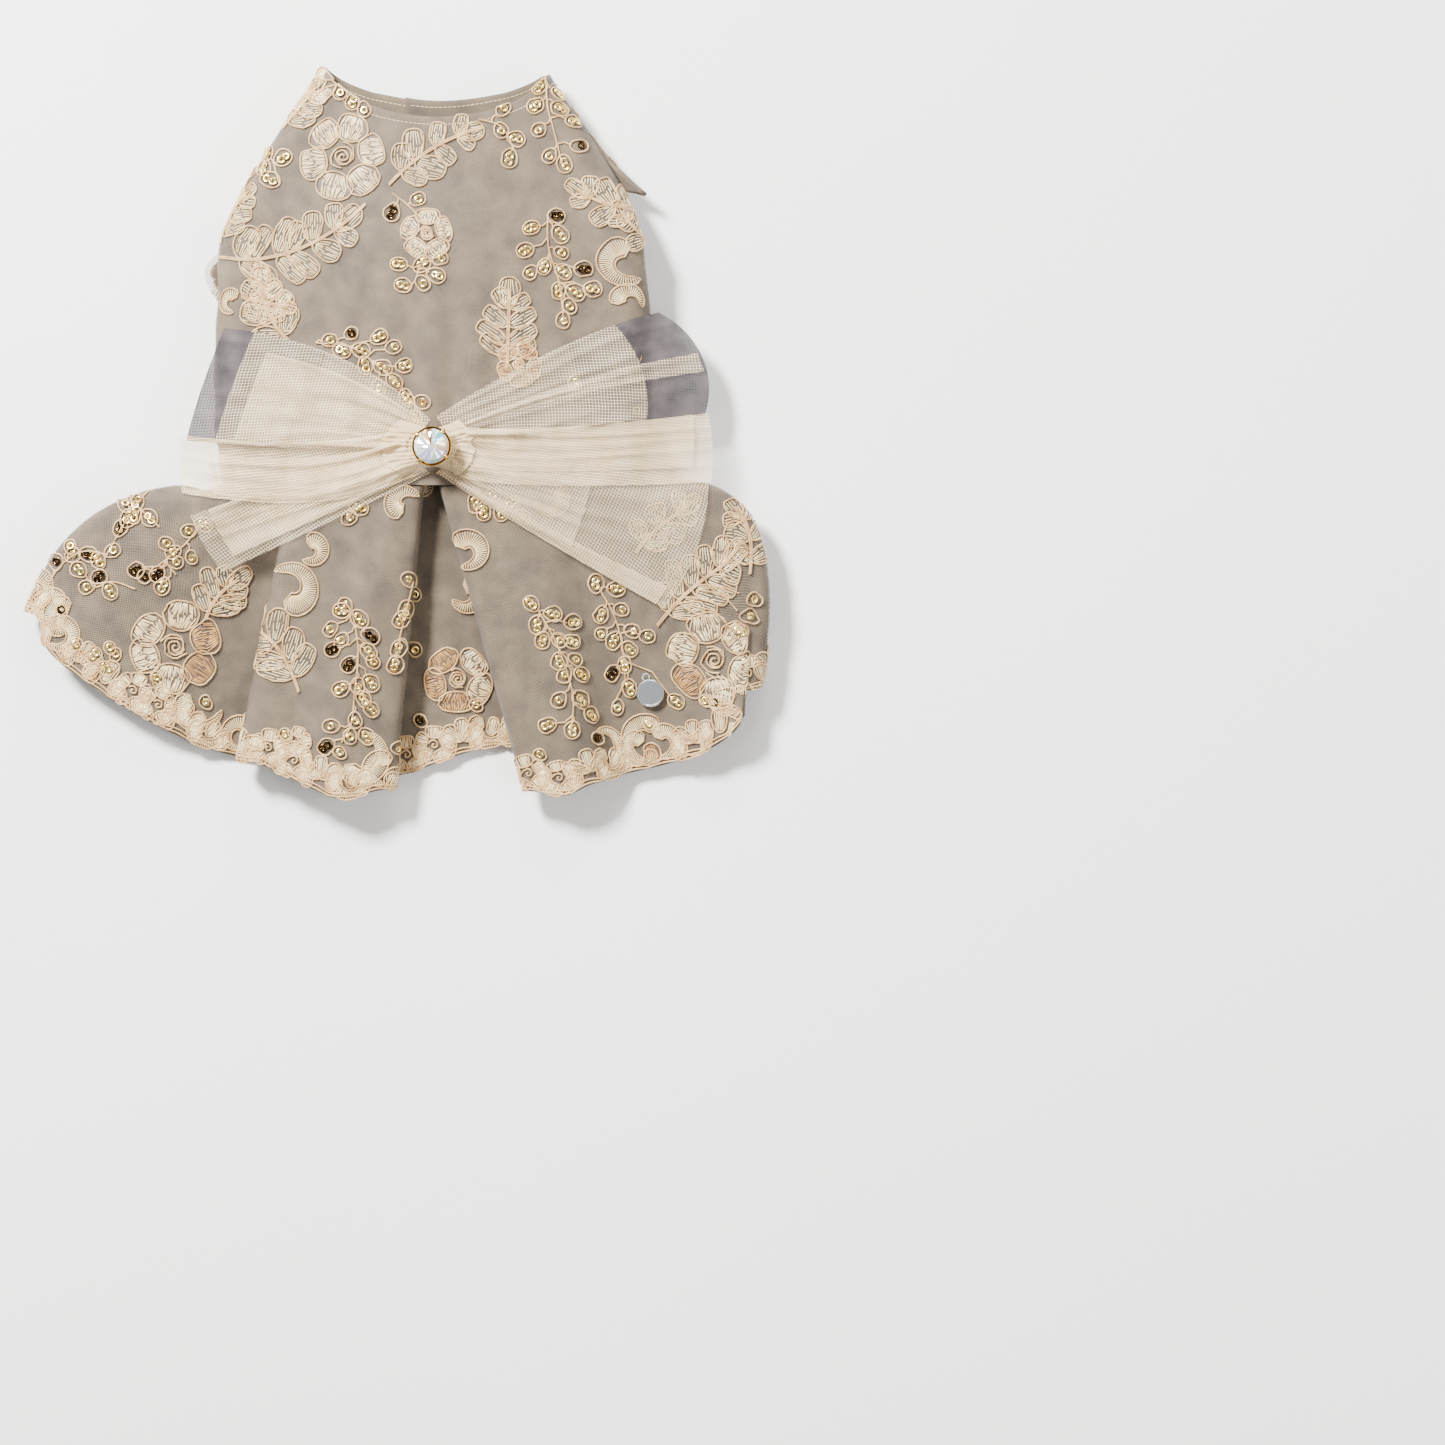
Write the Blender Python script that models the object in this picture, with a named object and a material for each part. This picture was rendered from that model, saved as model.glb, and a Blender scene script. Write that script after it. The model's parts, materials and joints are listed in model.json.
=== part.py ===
"""Dog dress lying flat with its bow side up.

Lengths are in metres. X runs across the dress, Y from the skirt to the neck, and Z up from the
surface that the dress lies on. The origin is on that surface, under the middle of the belly band.
"""

import math
from collections import namedtuple

import bmesh
import bpy
import numpy as np
from mathutils import Matrix, Vector
from mathutils.bvhtree import BVHTree

# Cloth walls and the clearances between pieces
LINING_WALL = 0.0016
LACE_WALL = 0.0010
TULLE_WALL = 0.0010
CLOSURE_WALL = 0.0012
GAP = 0.0003
FOLD_CLEARANCE = 0.0012

# From the middle of the lining to the lace's inner and outer faces, and between folded layers
LACE_IN = LINING_WALL / 2 + GAP
LACE_OUT = LACE_IN + LACE_WALL
FOLD_PITCH = 2 * LACE_OUT + FOLD_CLEARANCE
FLAP_WALL = LINING_WALL / 2 + LACE_OUT
INNER_FLAP_LIFT = FLAP_WALL + CLOSURE_WALL + 2 * GAP

# Bodice, from the waist seam to the tips of the neck
WAIST_Y = -0.0287
BODICE_LENGTH = 0.1463
BODICE_HALF_WIDTH = 0.0770
BODICE_HEIGHT = 0.0230
BACK_CROWN = 0.0050
BACK_NECK_DIP = 0.0172
THROAT_NECK_DIP = 0.0100
NECK_LEAN = 0.0030
ARMHOLE_CUT = 0.0050

# Straps on the belly side
BELLY_BAND_LOW_Y = -0.0206
BELLY_BAND_TOP_Y = 0.0196
BELLY_OUTER_END_X = 0.0490
BELLY_INNER_END_X = -0.0260
THROAT_LOW_Y = 0.0568
THROAT_SLANT = 0.0240
THROAT_SLANT_FROM_X = -0.0070
THROAT_END_MARGIN = 0.0100
THROAT_INNER_END_X = -0.0100
THROAT_CORNER_POKE = 0.0105
CLOSURE_MARGIN = 0.0060

# Flounces at the leg opening
FLOUNCE_LAP = 0.0035
FLOUNCE_FREE_Y = 0.0225
FLOUNCE_WAVE = 0.0050
FLOUNCE_WAVES = 4.5
FLOUNCE_BOW = 0.0040

# Skirt
SKIRT_REACH = 0.1400
SKIRT_LENGTH = 0.1080
WAIST_TUCK = 0.0004

# Bow, measured from the middle of its stone
BOW_X = 0.0007
BOW_Y = -0.0158
BOW_REACH = 0.0970
BOW_SHELF = 0.0265
BOW_DROOP = 0.0135
BOW_GATHER = 0.0016
KNOT_LENGTH = 0.0180
KNOT_WIDTH = 0.0150
KNOT_HEIGHT = 0.0076
KNOT_CLEARANCE = 1.06

# Stone in its clawed cup
STONE_RADIUS = 0.0060
STONE_CROWN = 0.0021
STONE_PAVILION = 0.0024
STONE_GIRDLE = 0.0004
STONE_TABLE_RADIUS = 0.0012
STONE_FACETS = 12
CUP_WALL = 0.0005
CUP_DEPTH = 0.0026
CLAW_RADIUS = 0.0008
CLAW_TURNS = (0.29, 0.79, 1.29, 1.79)

# Disc charm on the skirt
CHARM_X = 0.0748
CHARM_Y = -0.1005
CHARM_RADIUS = 0.0048
CHARM_WALL = 0.0010
CHARM_EYE_RADIUS = 0.0012
CHARM_EYE_WIRE = 0.0003
CHARM_TURN = 1.83

QUARTER = math.pi / 2

Section = namedtuple("Section", "along half_width height crown")
# along: share of BODICE_LENGTH from the waist; the rest: shares of the sizes of the same name
SECTIONS = (
    Section(0.00, 0.970, 1.00, 1.00),
    Section(0.20, 1.000, 1.00, 1.00),
    Section(0.42, 1.000, 1.00, 1.00),
    Section(0.565, 0.985, 1.00, 0.95),
    Section(0.64, 0.930, 0.98, 0.90),
    Section(0.715, 0.860, 0.95, 0.80),
    Section(0.79, 0.775, 0.92, 0.75),
    Section(0.865, 0.685, 0.88, 0.70),
    Section(0.94, 0.585, 0.85, 0.65),
    Section(1.00, 0.520, 0.83, 0.60),
)

Fold = namedtuple("Fold", "waist drop hem_x hem_y layer flare_x flare_y turn")
# waist: share along the waist seam from its middle; drop: fold layers below the seam there
# hem_x, hem_y: shares of SKIRT_REACH and SKIRT_LENGTH; layer: fold layers above the surface there
# flare: how far the cloth between swings out, as the same shares; turn: side to which it folds
FOLDS = (
    Fold(-1.00, 0.0, -0.800, 0.540, 0.0, -0.02, 0.06, 0),
    Fold(-0.96, 0.0, -0.955, 0.395, 0.0, -0.05, 0.08, -1),
    Fold(-0.90, 0.0, -0.995, 0.405, 1.6, -0.07, 0.12, 0),
    Fold(-0.85, 0.0, -0.965, 0.510, 2.0, -0.03, 0.10, 0),
    Fold(-0.77, 0.0, -0.840, 0.650, 1.8, 0.00, 0.06, 0),
    Fold(-0.70, 1.0, -0.690, 0.768, 1.2, 0.00, 0.03, 0),
    Fold(-0.645, 2.0, -0.560, 0.845, 0.1, 0.00, 0.00, 0),
    Fold(-0.50, 2.0, -0.421, 0.880, 0.0, 0.00, 0.00, 1),
    Fold(-0.50, 1.0, -0.421, 0.880, 1.0, 0.00, 0.00, 0),
    Fold(-0.58, 1.0, -0.464, 0.885, 1.0, 0.00, 0.00, -1),
    Fold(-0.58, 0.0, -0.464, 0.885, 2.0, 0.00, 0.00, 0),
    Fold(-0.42, 0.0, -0.336, 0.950, 2.2, 0.00, 0.00, 0),
    Fold(-0.25, 0.0, -0.230, 1.005, 2.3, 0.00, 0.00, 0),
    Fold(-0.08, 0.0, -0.121, 0.975, 2.0, 0.00, 0.00, 1),
    Fold(-0.08, 1.0, -0.121, 0.975, 1.0, 0.00, 0.00, 0),
    Fold(-0.33, 1.0, -0.171, 0.950, 1.0, 0.00, 0.00, -1),
    Fold(-0.33, 2.0, -0.171, 0.938, 0.0, 0.00, 0.00, 0),
    Fold(-0.14, 2.0, -0.071, 0.925, -0.15, 0.00, 0.00, 0),
    Fold(0.03, 2.0, 0.050, 0.868, -0.15, 0.00, 0.00, 0),
    Fold(0.18, 2.0, 0.164, 0.833, -0.15, 0.00, 0.00, 0),
    Fold(0.33, 2.0, 0.286, 0.855, 0.0, 0.00, 0.00, 1),
    Fold(0.33, 1.0, 0.286, 0.855, 1.0, 0.00, 0.00, 0),
    Fold(0.08, 1.0, 0.250, 0.975, 1.0, 0.00, 0.00, -1),
    Fold(0.08, 0.0, 0.250, 0.980, 2.0, 0.00, 0.00, 0),
    Fold(0.25, 0.0, 0.329, 0.995, 2.25, 0.00, 0.00, 0),
    Fold(0.40, 0.0, 0.386, 0.962, 2.1, 0.00, 0.00, 0),
    Fold(0.50, 0.0, 0.421, 0.948, 1.3, 0.00, 0.00, 0),
    Fold(0.58, 0.0, 0.464, 0.929, 0.3, 0.00, 0.00, 0),
    Fold(0.67, 0.0, 0.571, 0.896, 0.2, 0.02, 0.02, 0),
    Fold(0.76, 0.0, 0.680, 0.850, 1.1, 0.05, 0.06, 0),
    Fold(0.84, 0.0, 0.765, 0.760, 2.0, 0.09, 0.14, 0),
    Fold(0.90, 0.0, 0.785, 0.650, 1.8, 0.12, 0.22, 1),
    Fold(0.96, 0.0, 0.765, 0.600, 0.0, 0.12, 0.20, 0),
    Fold(1.00, 0.0, 0.640, 0.540, 0.0, 0.08, 0.14, 0),
)
FOLD_TURN_STEPS = 3
SKIRT_ROWS = (0.0, 0.08, 0.22, 0.38, 0.56, 0.74, 0.89, 1.0)

Sheet = namedtuple("Sheet", "name top_in top_mid top_out low_in low_mid low_out swell")
# Each strip of the bow: its two long edges from the knot outwards, and how far its free end swells,
# all as shares of BOW_REACH. The first strips lie lowest.
BOW_SHEETS = (
    Sheet("bow_tail_left", (-0.07, -0.05), (-0.44, -0.11), (-0.87, -0.24),
          (-0.01, -0.09), (-0.34, -0.25), (-0.76, -0.44), 0.01),
    Sheet("bow_tail_right", (0.08, -0.03), (0.46, -0.06), (0.98, -0.12),
          (0.01, -0.09), (0.38, -0.32), (0.82, -0.57), 0.04),
    Sheet("bow_wing_left", (-0.01, 0.10), (-0.33, 0.32), (-0.75, 0.43),
          (-0.09, -0.01), (-0.47, 0.00), (-0.89, 0.03), 0.01),
    Sheet("bow_wing_right", (0.01, 0.11), (0.41, 0.34), (0.80, 0.49),
          (0.09, 0.00), (0.48, 0.07), (0.965, 0.12), 0.08),
    Sheet("bow_loop_left", (-0.08, 0.07), (-0.46, 0.02), (-0.91, 0.05),
          (-0.06, -0.07), (-0.38, -0.19), (-0.90, -0.16), 0.01),
    Sheet("bow_loop_right", (0.06, 0.08), (0.40, 0.07), (0.98, 0.13),
          (0.07, -0.06), (0.26, -0.13), (0.99, -0.12), 0.01),
)
SHEET_STEPS_OUT = 9
SHEET_STEPS_ACROSS = 7
SHEET_PLEATS = 2.5

COLOURS = {
    "lining": (0.60, 0.56, 0.50, 1.0),
    "lace": (0.83, 0.72, 0.60, 1.0),
    "tulle": (0.86, 0.80, 0.72, 1.0),
    "closure": (0.70, 0.66, 0.60, 1.0),
    "gold": (0.83, 0.63, 0.27, 1.0),
    "stone": (0.90, 0.92, 0.93, 1.0),
    "steel": (0.66, 0.70, 0.74, 1.0),
}
METALS = ("gold", "steel")


# Helpers

def smooth_through(xs, ys, at):
    """Value at a place on a smooth curve through the points, which never overshoots them."""
    xs, ys = np.asarray(xs, float), np.asarray(ys, float)
    steps = np.diff(xs)
    slopes = np.diff(ys) / steps
    bends = np.zeros(len(xs))
    bends[0], bends[-1] = slopes[0], slopes[-1]
    for i in range(1, len(xs) - 1):
        if slopes[i - 1] * slopes[i] > 0:
            bends[i] = 2 / (1 / slopes[i - 1] + 1 / slopes[i])
    at = min(max(at, xs[0]), xs[-1])
    i = min(int(np.searchsorted(xs, at, side="right")) - 1, len(steps) - 1)
    t = (at - xs[i]) / steps[i]
    low = (1 + 2 * t) * (1 - t) ** 2 * ys[i] + t * (1 - t) ** 2 * steps[i] * bends[i]
    high = t * t * (3 - 2 * t) * ys[i + 1] + t * t * (t - 1) * steps[i] * bends[i + 1]
    return low + high


def ease(t):
    """0 below 0, 1 above 1, and a smooth step between them."""
    t = min(max(t, 0.0), 1.0)
    return t * t * (3 - 2 * t)


def material(kind):
    """The Principled material of this kind, made once."""
    made = bpy.data.materials.get(kind)
    if made:
        return made
    made = bpy.data.materials.new(kind)
    made.use_nodes = True
    shader = made.node_tree.nodes["Principled BSDF"]
    shader.inputs["Base Color"].default_value = COLOURS[kind]
    shader.inputs["Metallic"].default_value = 1.0 if kind in METALS else 0.0
    shader.inputs["Roughness"].default_value = 0.3 if kind in METALS + ("stone",) else 0.9
    made.diffuse_color = COLOURS[kind]
    return made


def place(name, mesh, kind, at=(0.0, 0.0, 0.0)):
    """Puts a mesh in the dress's collection as a named piece."""
    obj = bpy.data.objects.new(name, mesh)
    obj.location = at
    mesh.materials.append(material(kind))
    bpy.data.collections["dog_dress"].objects.link(obj)
    return obj


def finished(name, form, kind, at=(0.0, 0.0, 0.0)):
    """Turns a bmesh into a placed piece, with its faces pointing outwards."""
    bmesh.ops.recalc_face_normals(form, faces=form.faces)
    mesh = bpy.data.meshes.new(name)
    form.to_mesh(mesh)
    form.free()
    return place(name, mesh, kind, at)


def grid_normals(points):
    """Unit normals of a grid of points, indexed [across][along][xyz]."""
    across = np.gradient(points, axis=0)
    along = np.gradient(points, axis=1)
    normals = np.cross(across, along)
    return normals / np.linalg.norm(normals, axis=2, keepdims=True)


def add_face_grid(form, points):
    """Adds one side of a wall to a bmesh: a plain grid whose vertices move to the points."""
    nx, ny = points.shape[0] - 1, points.shape[1] - 1
    made = bmesh.ops.create_grid(form, x_segments=nx, y_segments=ny, size=1.0)
    for vertex in made["verts"]:
        i = round((vertex.co.x + 1) / 2 * nx)
        j = round((vertex.co.y + 1) / 2 * ny)
        vertex.co = points[i, j]
    faces = list({face for vertex in made["verts"] for face in vertex.link_faces})
    split = bmesh.ops.triangulate(form, faces=faces, quad_method="FIXED")
    return split["faces"]


def wall(name, points, directions, low, high, kind):
    """A closed cloth wall between two offsets from a grid of points."""
    form = bmesh.new()
    add_face_grid(form, points + high * directions)
    under = add_face_grid(form, points + low * directions)
    bmesh.ops.reverse_faces(form, faces=under)
    rims = [edge for edge in form.edges if edge.is_boundary]
    bmesh.ops.bridge_loops(form, edges=rims)
    bmesh.ops.triangulate(form, faces=[f for f in form.faces if len(f.verts) > 3])
    return finished(name, form, kind)


def turned(name, profile, steps, kind, at):
    """A solid turned about Z from (radius, height) points, given from its foot to its top."""
    mesh = bpy.data.meshes.new(name)
    form = bmesh.new()
    corners = [form.verts.new((radius, 0.0, height)) for radius, height in profile]
    for start, end in zip(corners, corners[1:]):
        form.edges.new((start, end))
    bmesh.ops.spin(
        form, geom=form.verts[:] + form.edges[:], cent=(0, 0, 0), axis=(0, 0, 1),
        angle=2 * math.pi, steps=steps, use_merge=True,
    )
    bmesh.ops.remove_doubles(form, verts=form.verts, dist=1e-6)
    bmesh.ops.recalc_face_normals(form, faces=form.faces)
    form.to_mesh(mesh)
    form.free()
    return place(name, mesh, kind, at)


def join_to(obj, other):
    """Unites another object with this one by a Boolean, and removes the other."""
    union = obj.modifiers.new("join", "BOOLEAN")
    union.operation = "UNION"
    union.object = other
    graph = bpy.context.evaluated_depsgraph_get()
    joined = bpy.data.meshes.new_from_object(obj.evaluated_get(graph))
    obj.modifiers.clear()
    obj.data = joined
    bpy.data.objects.remove(other)


def tree_of(objects):
    """What a ray hits of these pieces, as they stand."""
    points, faces = [], []
    for obj in objects:
        start = len(points)
        points += [obj.matrix_world @ vertex.co for vertex in obj.data.vertices]
        faces += [[start + i for i in face.vertices] for face in obj.data.polygons]
    return BVHTree.FromPolygons(points, faces)


def top_near(tree, x, y, reach):
    """The highest point of the tree within reach of a place, or the surface below."""
    highest = 0.0
    shares = [k / 4 for k in range(-4, 5)]
    for dx in [reach * share for share in shares]:
        for dy in [reach * share for share in shares]:
            hit = tree.ray_cast(Vector((x + dx, y + dy, 1.0)), Vector((0, 0, -1)))[0]
            if hit is not None:
                highest = max(highest, hit.z)
    return highest


# The bodice's section

def section_at(along):
    """Half length of the flat back, radius of the side fold and crown, at a share of the bodice."""
    keys = [row.along for row in SECTIONS]
    half = BODICE_HALF_WIDTH * smooth_through(keys, [r.half_width for r in SECTIONS], along)
    height = BODICE_HEIGHT * smooth_through(keys, [r.height for r in SECTIONS], along)
    crown = BACK_CROWN * smooth_through(keys, [r.crown for r in SECTIONS], along)
    radius = height / 2 - LACE_OUT
    return half - LACE_OUT - radius, radius, crown


def back_point(along, place_across):
    """Middle of the back's lining. Across: 1 where the side fold starts, 2 at the side seam."""
    flat, radius, crown = section_at(along)
    side, share = math.copysign(1, place_across), abs(place_across)
    y = WAIST_Y + along * BODICE_LENGTH
    if share <= 1:
        z = LACE_OUT + 2 * radius + crown * (1 - share**2) ** 2
        return side * share * flat, y, z
    turn = (share - 1) * QUARTER
    x = flat + radius * math.sin(turn)
    return side * x, y, LACE_OUT + radius + radius * math.cos(turn)


def flap_point(along, place_along, side, end_x, lift):
    """Middle of a strap's lining, from the side seam at 0, over the fold's end at 1, to its end."""
    flat, radius, _ = section_at(along)
    y = WAIST_Y + along * BODICE_LENGTH
    if place_along <= 1:
        seam = GAP / radius
        turn = QUARTER + seam + place_along * (QUARTER - seam)
        x = side * (flat + radius * math.sin(turn))
        return x, y, LACE_OUT + radius + (radius - lift) * math.cos(turn)
    x = side * flat + (place_along - 1) * (end_x - side * flat)
    return x, y, LACE_OUT + lift


def share_of_y(y):
    """Where a Y lies along the bodice, as a share of its length from the waist."""
    return (y - WAIST_Y) / BODICE_LENGTH


# Pieces of the bodice

def neck_edge(x, dip):
    """The neckline at an X, as a share of the bodice: highest at its tips, dipping between them."""
    flat, radius, _ = section_at(1.0)
    place_across = max(min(x / (flat + radius), 1.0), -1.0)
    lean = NECK_LEAN * (1 + place_across) / 2
    return 1 - (lean + dip * (1 - abs(place_across) ** 1.9)) / BODICE_LENGTH


def armhole(along, side):
    """How far the back's side edge is cut up at the leg opening, as a share of the side fold."""
    low = share_of_y(BELLY_BAND_TOP_Y)
    top = share_of_y(throat_low_y(math.copysign(BODICE_HALF_WIDTH, side)))
    t = (along - low) / (top - low)
    if not 0 < t < 1:
        return 0.0
    _, radius, _ = section_at(along)
    return ARMHOLE_CUT / (radius * QUARTER) * math.sin(math.pi * t) ** 2


def back_grid():
    """The back's middle surface, as a grid from the waist to the neckline."""
    flat_steps, fold_steps, rows = 7, 4, 12
    half = list(np.linspace(0, 1, flat_steps)[1:]) + list(1 + np.linspace(0, 1, fold_steps + 1)[1:])
    columns = [-c for c in reversed(half)] + [0.0] + half
    points = np.zeros((len(columns), rows + 1, 3))
    for i, column in enumerate(columns):
        share = abs(column)
        neck = neck_edge(back_point(1.0, column)[0], BACK_NECK_DIP)
        for j, v in enumerate(np.linspace(0, 1, rows + 1)):
            along = neck * v
            cut = armhole(along, column) * max(share - 1, 0)
            points[i, j] = back_point(along, math.copysign(share - cut, column))
    return points


def build_back():
    """The fleece back and the lace over it."""
    points = back_grid()
    directions = -grid_normals(points)
    if directions[len(points) // 2, 0, 2] < 0:
        directions = -directions
    directions[:, 0, 1] = 0
    directions[0, :, 2] = 0
    directions[-1, :, 2] = 0
    directions /= np.linalg.norm(directions, axis=2, keepdims=True)
    lining = wall("back_lining", points, directions, -LINING_WALL / 2, LINING_WALL / 2, "lining")
    lace = wall("back_lace", points, directions, LACE_IN, LACE_OUT, "lace")
    return [lining, lace]


def build_flap(name, side, lift, end_x, low_y, neck_dip, corner):
    """One strap on the belly side, lace outside and lining inside, as one wall.

    low_y gives its lower edge at an X; end_x its end at a share of the bodice. A strap at the neck
    takes its upper edge from neck_dip, a belly strap from the band. corner is how far the strap's
    lower corner pokes out at the side.
    """
    fold_steps, flat_steps, rows = 4, 7, 4
    columns = list(np.linspace(0, 1, fold_steps + 1)) + list(np.linspace(1, 2, flat_steps + 1)[1:])
    points = np.zeros((len(columns), rows + 1, 3))
    for i, column in enumerate(columns):
        for j, v in enumerate(np.linspace(0, 1, rows + 1)):
            along = share_of_y(low_y(side * BODICE_HALF_WIDTH))
            for _ in range(3):
                x = flap_point(along, column, side, end_x(along), lift)[0]
                low = share_of_y(low_y(x))
                top = share_of_y(BELLY_BAND_TOP_Y)
                if neck_dip:
                    top = neck_edge(x, neck_dip)
                along = low + v * (top - low)
            points[i, j] = flap_point(along, column, side, end_x(along), lift)
            poke = corner * (1 - v) ** 4 * max(1 - column, 0.0)
            points[i, j] += (side * poke, -poke * 0.4, 0.0)
    directions = grid_normals(points)
    if directions[-1, 0, 2] > 0:
        directions = -directions
    directions[:, 0, 1] = 0
    directions[:, -1, 1] = 0
    directions[0, :, 2] = 0
    directions /= np.linalg.norm(directions, axis=2, keepdims=True)
    return wall(name, points, directions, -LINING_WALL / 2, LACE_OUT, "lace")


def build_belly_band():
    """The two straps under the belly, with the closure between them."""
    outer = build_flap("belly_flap_outer", -1, 0.0, lambda _: BELLY_OUTER_END_X,
                       lambda _: BELLY_BAND_LOW_Y, 0.0, 0.0)
    inner = build_flap("belly_flap_inner", 1, INNER_FLAP_LIFT, lambda _: BELLY_INNER_END_X,
                       lambda _: BELLY_BAND_LOW_Y, 0.0, 0.0)
    closure = build_closure(
        "belly_closure",
        BELLY_INNER_END_X + CLOSURE_MARGIN, BELLY_OUTER_END_X - CLOSURE_MARGIN,
        BELLY_BAND_LOW_Y + CLOSURE_MARGIN, BELLY_BAND_TOP_Y - CLOSURE_MARGIN,
    )
    return [outer, inner, closure]


def throat_low_y(x):
    """The throat straps' lower edge, which slants up towards the outer strap's end."""
    share = (x - THROAT_SLANT_FROM_X) / (BODICE_HALF_WIDTH - THROAT_SLANT_FROM_X)
    return THROAT_LOW_Y + THROAT_SLANT * max(share, 0.0)


def build_throat_band():
    """The two straps under the throat, with the closure between them."""
    def outer_end(along):
        flat, radius, _ = section_at(along)
        return flat + radius + LACE_OUT - THROAT_END_MARGIN

    outer = build_flap("throat_flap_outer", -1, 0.0, outer_end, throat_low_y,
                       THROAT_NECK_DIP, 0.0)
    inner = build_flap("throat_flap_inner", 1, INNER_FLAP_LIFT, lambda _: THROAT_INNER_END_X,
                       throat_low_y, THROAT_NECK_DIP, THROAT_CORNER_POKE)
    closure = build_closure(
        "throat_closure",
        THROAT_INNER_END_X + CLOSURE_MARGIN, BODICE_HALF_WIDTH / 2 - CLOSURE_MARGIN,
        THROAT_LOW_Y + THROAT_SLANT, BODICE_LENGTH + WAIST_Y - THROAT_SLANT,
    )
    return [outer, inner, closure]


def build_closure(name, left, right, low, top):
    """A flat hook-and-loop strip in the space between two straps."""
    form = bmesh.new()
    bmesh.ops.create_cube(form, size=1.0)
    bmesh.ops.scale(form, vec=(right - left, top - low, CLOSURE_WALL), verts=form.verts)
    foot = FLAP_WALL + GAP
    at = ((left + right) / 2, (low + top) / 2, foot + CLOSURE_WALL / 2)
    return finished(name, form, "closure", at)


Flounce = namedtuple("Flounce", "name seam_in seam_out free_in free_out swell")
# Ends of each flounce's seam and free edge and how far its outer side swells between them, all as
# shares of BODICE_HALF_WIDTH
FLOUNCES = (
    Flounce("flounce_left", -0.07, -0.66, -0.03, -0.92, -0.36),
    Flounce("flounce_right", 0.10, 0.66, 0.05, 0.95, 0.0),
)


def build_flounce(flounce):
    """A gathered lace flounce over one leg, lying under the dress."""
    steps, rows = 24, 4
    seam_z = FLAP_WALL + GAP
    points = np.zeros((steps + 1, rows + 1, 3))
    for i, u in enumerate(np.linspace(0, 1, steps + 1)):
        wave = 0.5 - 0.5 * math.cos(2 * math.pi * FLOUNCE_WAVES * u)
        for j, v in enumerate(np.linspace(0, 1, rows + 1)):
            spread = ease(v * 1.3 - 0.3)
            seam_x = flounce.seam_in + u * (flounce.seam_out - flounce.seam_in)
            free_x = flounce.free_in + u * (flounce.free_out - flounce.free_in)
            swell = flounce.swell * u * 6.75 * v * (1 - v) ** 2
            x = BODICE_HALF_WIDTH * (seam_x + spread * (free_x - seam_x) + swell)
            curve = 4 * u * (1 - u) - 1
            seam_y = throat_low_y(BODICE_HALF_WIDTH * seam_x) + FLOUNCE_LAP
            y = seam_y + v * (FLOUNCE_FREE_Y - seam_y) - FLOUNCE_BOW * v * curve
            free_z = GAP + FLOUNCE_WAVE * wave
            points[i, j] = x, y, seam_z + ease(v * 1.6 - 0.35) * (free_z - seam_z)
    upright = np.zeros_like(points)
    upright[:, :, 2] = 1
    return wall(flounce.name, points, upright, 0.0, LACE_WALL, "lace")


# Skirt

def waist_place(share):
    """Place across the waist seam, as back_point takes it, of a share along the seam."""
    flat, radius, _ = section_at(0.0)
    arc = abs(share) * (flat + QUARTER * radius)
    place_across = arc / flat if arc <= flat else 1 + (arc - flat) / (QUARTER * radius)
    return math.copysign(min(place_across, 2.0), share)


def fold_line(fold, v):
    """A point of the skirt on one row of the fold table, from the waist at 0 to the hem at 1."""
    x, y, z = back_point(0.0, waist_place(fold.waist))
    waist = Vector((x, y - GAP + fold.drop * WAIST_TUCK, z - fold.drop * FOLD_PITCH))
    hem = Vector((
        fold.hem_x * SKIRT_REACH,
        WAIST_Y - fold.hem_y * SKIRT_LENGTH,
        LACE_OUT + fold.layer * FOLD_PITCH,
    ))
    swing_x = 4 * v * (1 - v) * fold.flare_x * SKIRT_REACH
    swing_y = 4 * v * (1 - v) * ease(v / 0.2) * fold.flare_y * SKIRT_LENGTH
    return waist.lerp(hem, v) + Vector((swing_x, swing_y, 0.0))


def skirt_grid():
    """The skirt's middle surface: the fold table's lines, with round turns between layers."""
    lines = []
    for fold, after in zip(FOLDS, FOLDS[1:] + (None,)):
        lines.append([fold_line(fold, v) for v in SKIRT_ROWS])
        if not fold.turn:
            continue
        for k in range(1, FOLD_TURN_STEPS):
            angle = math.pi * k / FOLD_TURN_STEPS
            line = []
            for v in SKIRT_ROWS:
                start, end = fold_line(fold, v), fold_line(after, v)
                bulge = fold.turn * abs(end.z - start.z) / 2 * math.sin(angle)
                line.append(start.lerp(end, (1 - math.cos(angle)) / 2) + Vector((bulge, 0, 0)))
            lines.append(line)
    return np.array([[tuple(point) for point in line] for line in lines])


def build_skirt():
    """The pleated fleece skirt and the lace over it."""
    points = skirt_grid()
    directions = -grid_normals(points)
    middle = np.argmin(abs(points[:, -1, 0] + SKIRT_REACH * 0.24))
    if directions[middle, -1, 2] < 0:
        directions = -directions
    directions[:, 0, 1] = 0
    directions /= np.linalg.norm(directions, axis=2, keepdims=True)
    lining = wall("skirt_lining", points, directions, -LINING_WALL / 2, LINING_WALL / 2, "lining")
    lace = wall("skirt_lace", points, directions, LACE_IN, LACE_OUT, "lace")
    return [lining, lace]


# Bow

def edge_point(start, middle, end, t):
    """A point on a bent edge, in metres from the bow's middle."""
    a, b, c = Vector(start), Vector(middle), Vector(end)
    bend = 2 * b - (a + c) / 2
    return BOW_REACH * ((1 - t) ** 2 * a + 2 * t * (1 - t) * bend + t * t * c)


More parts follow.
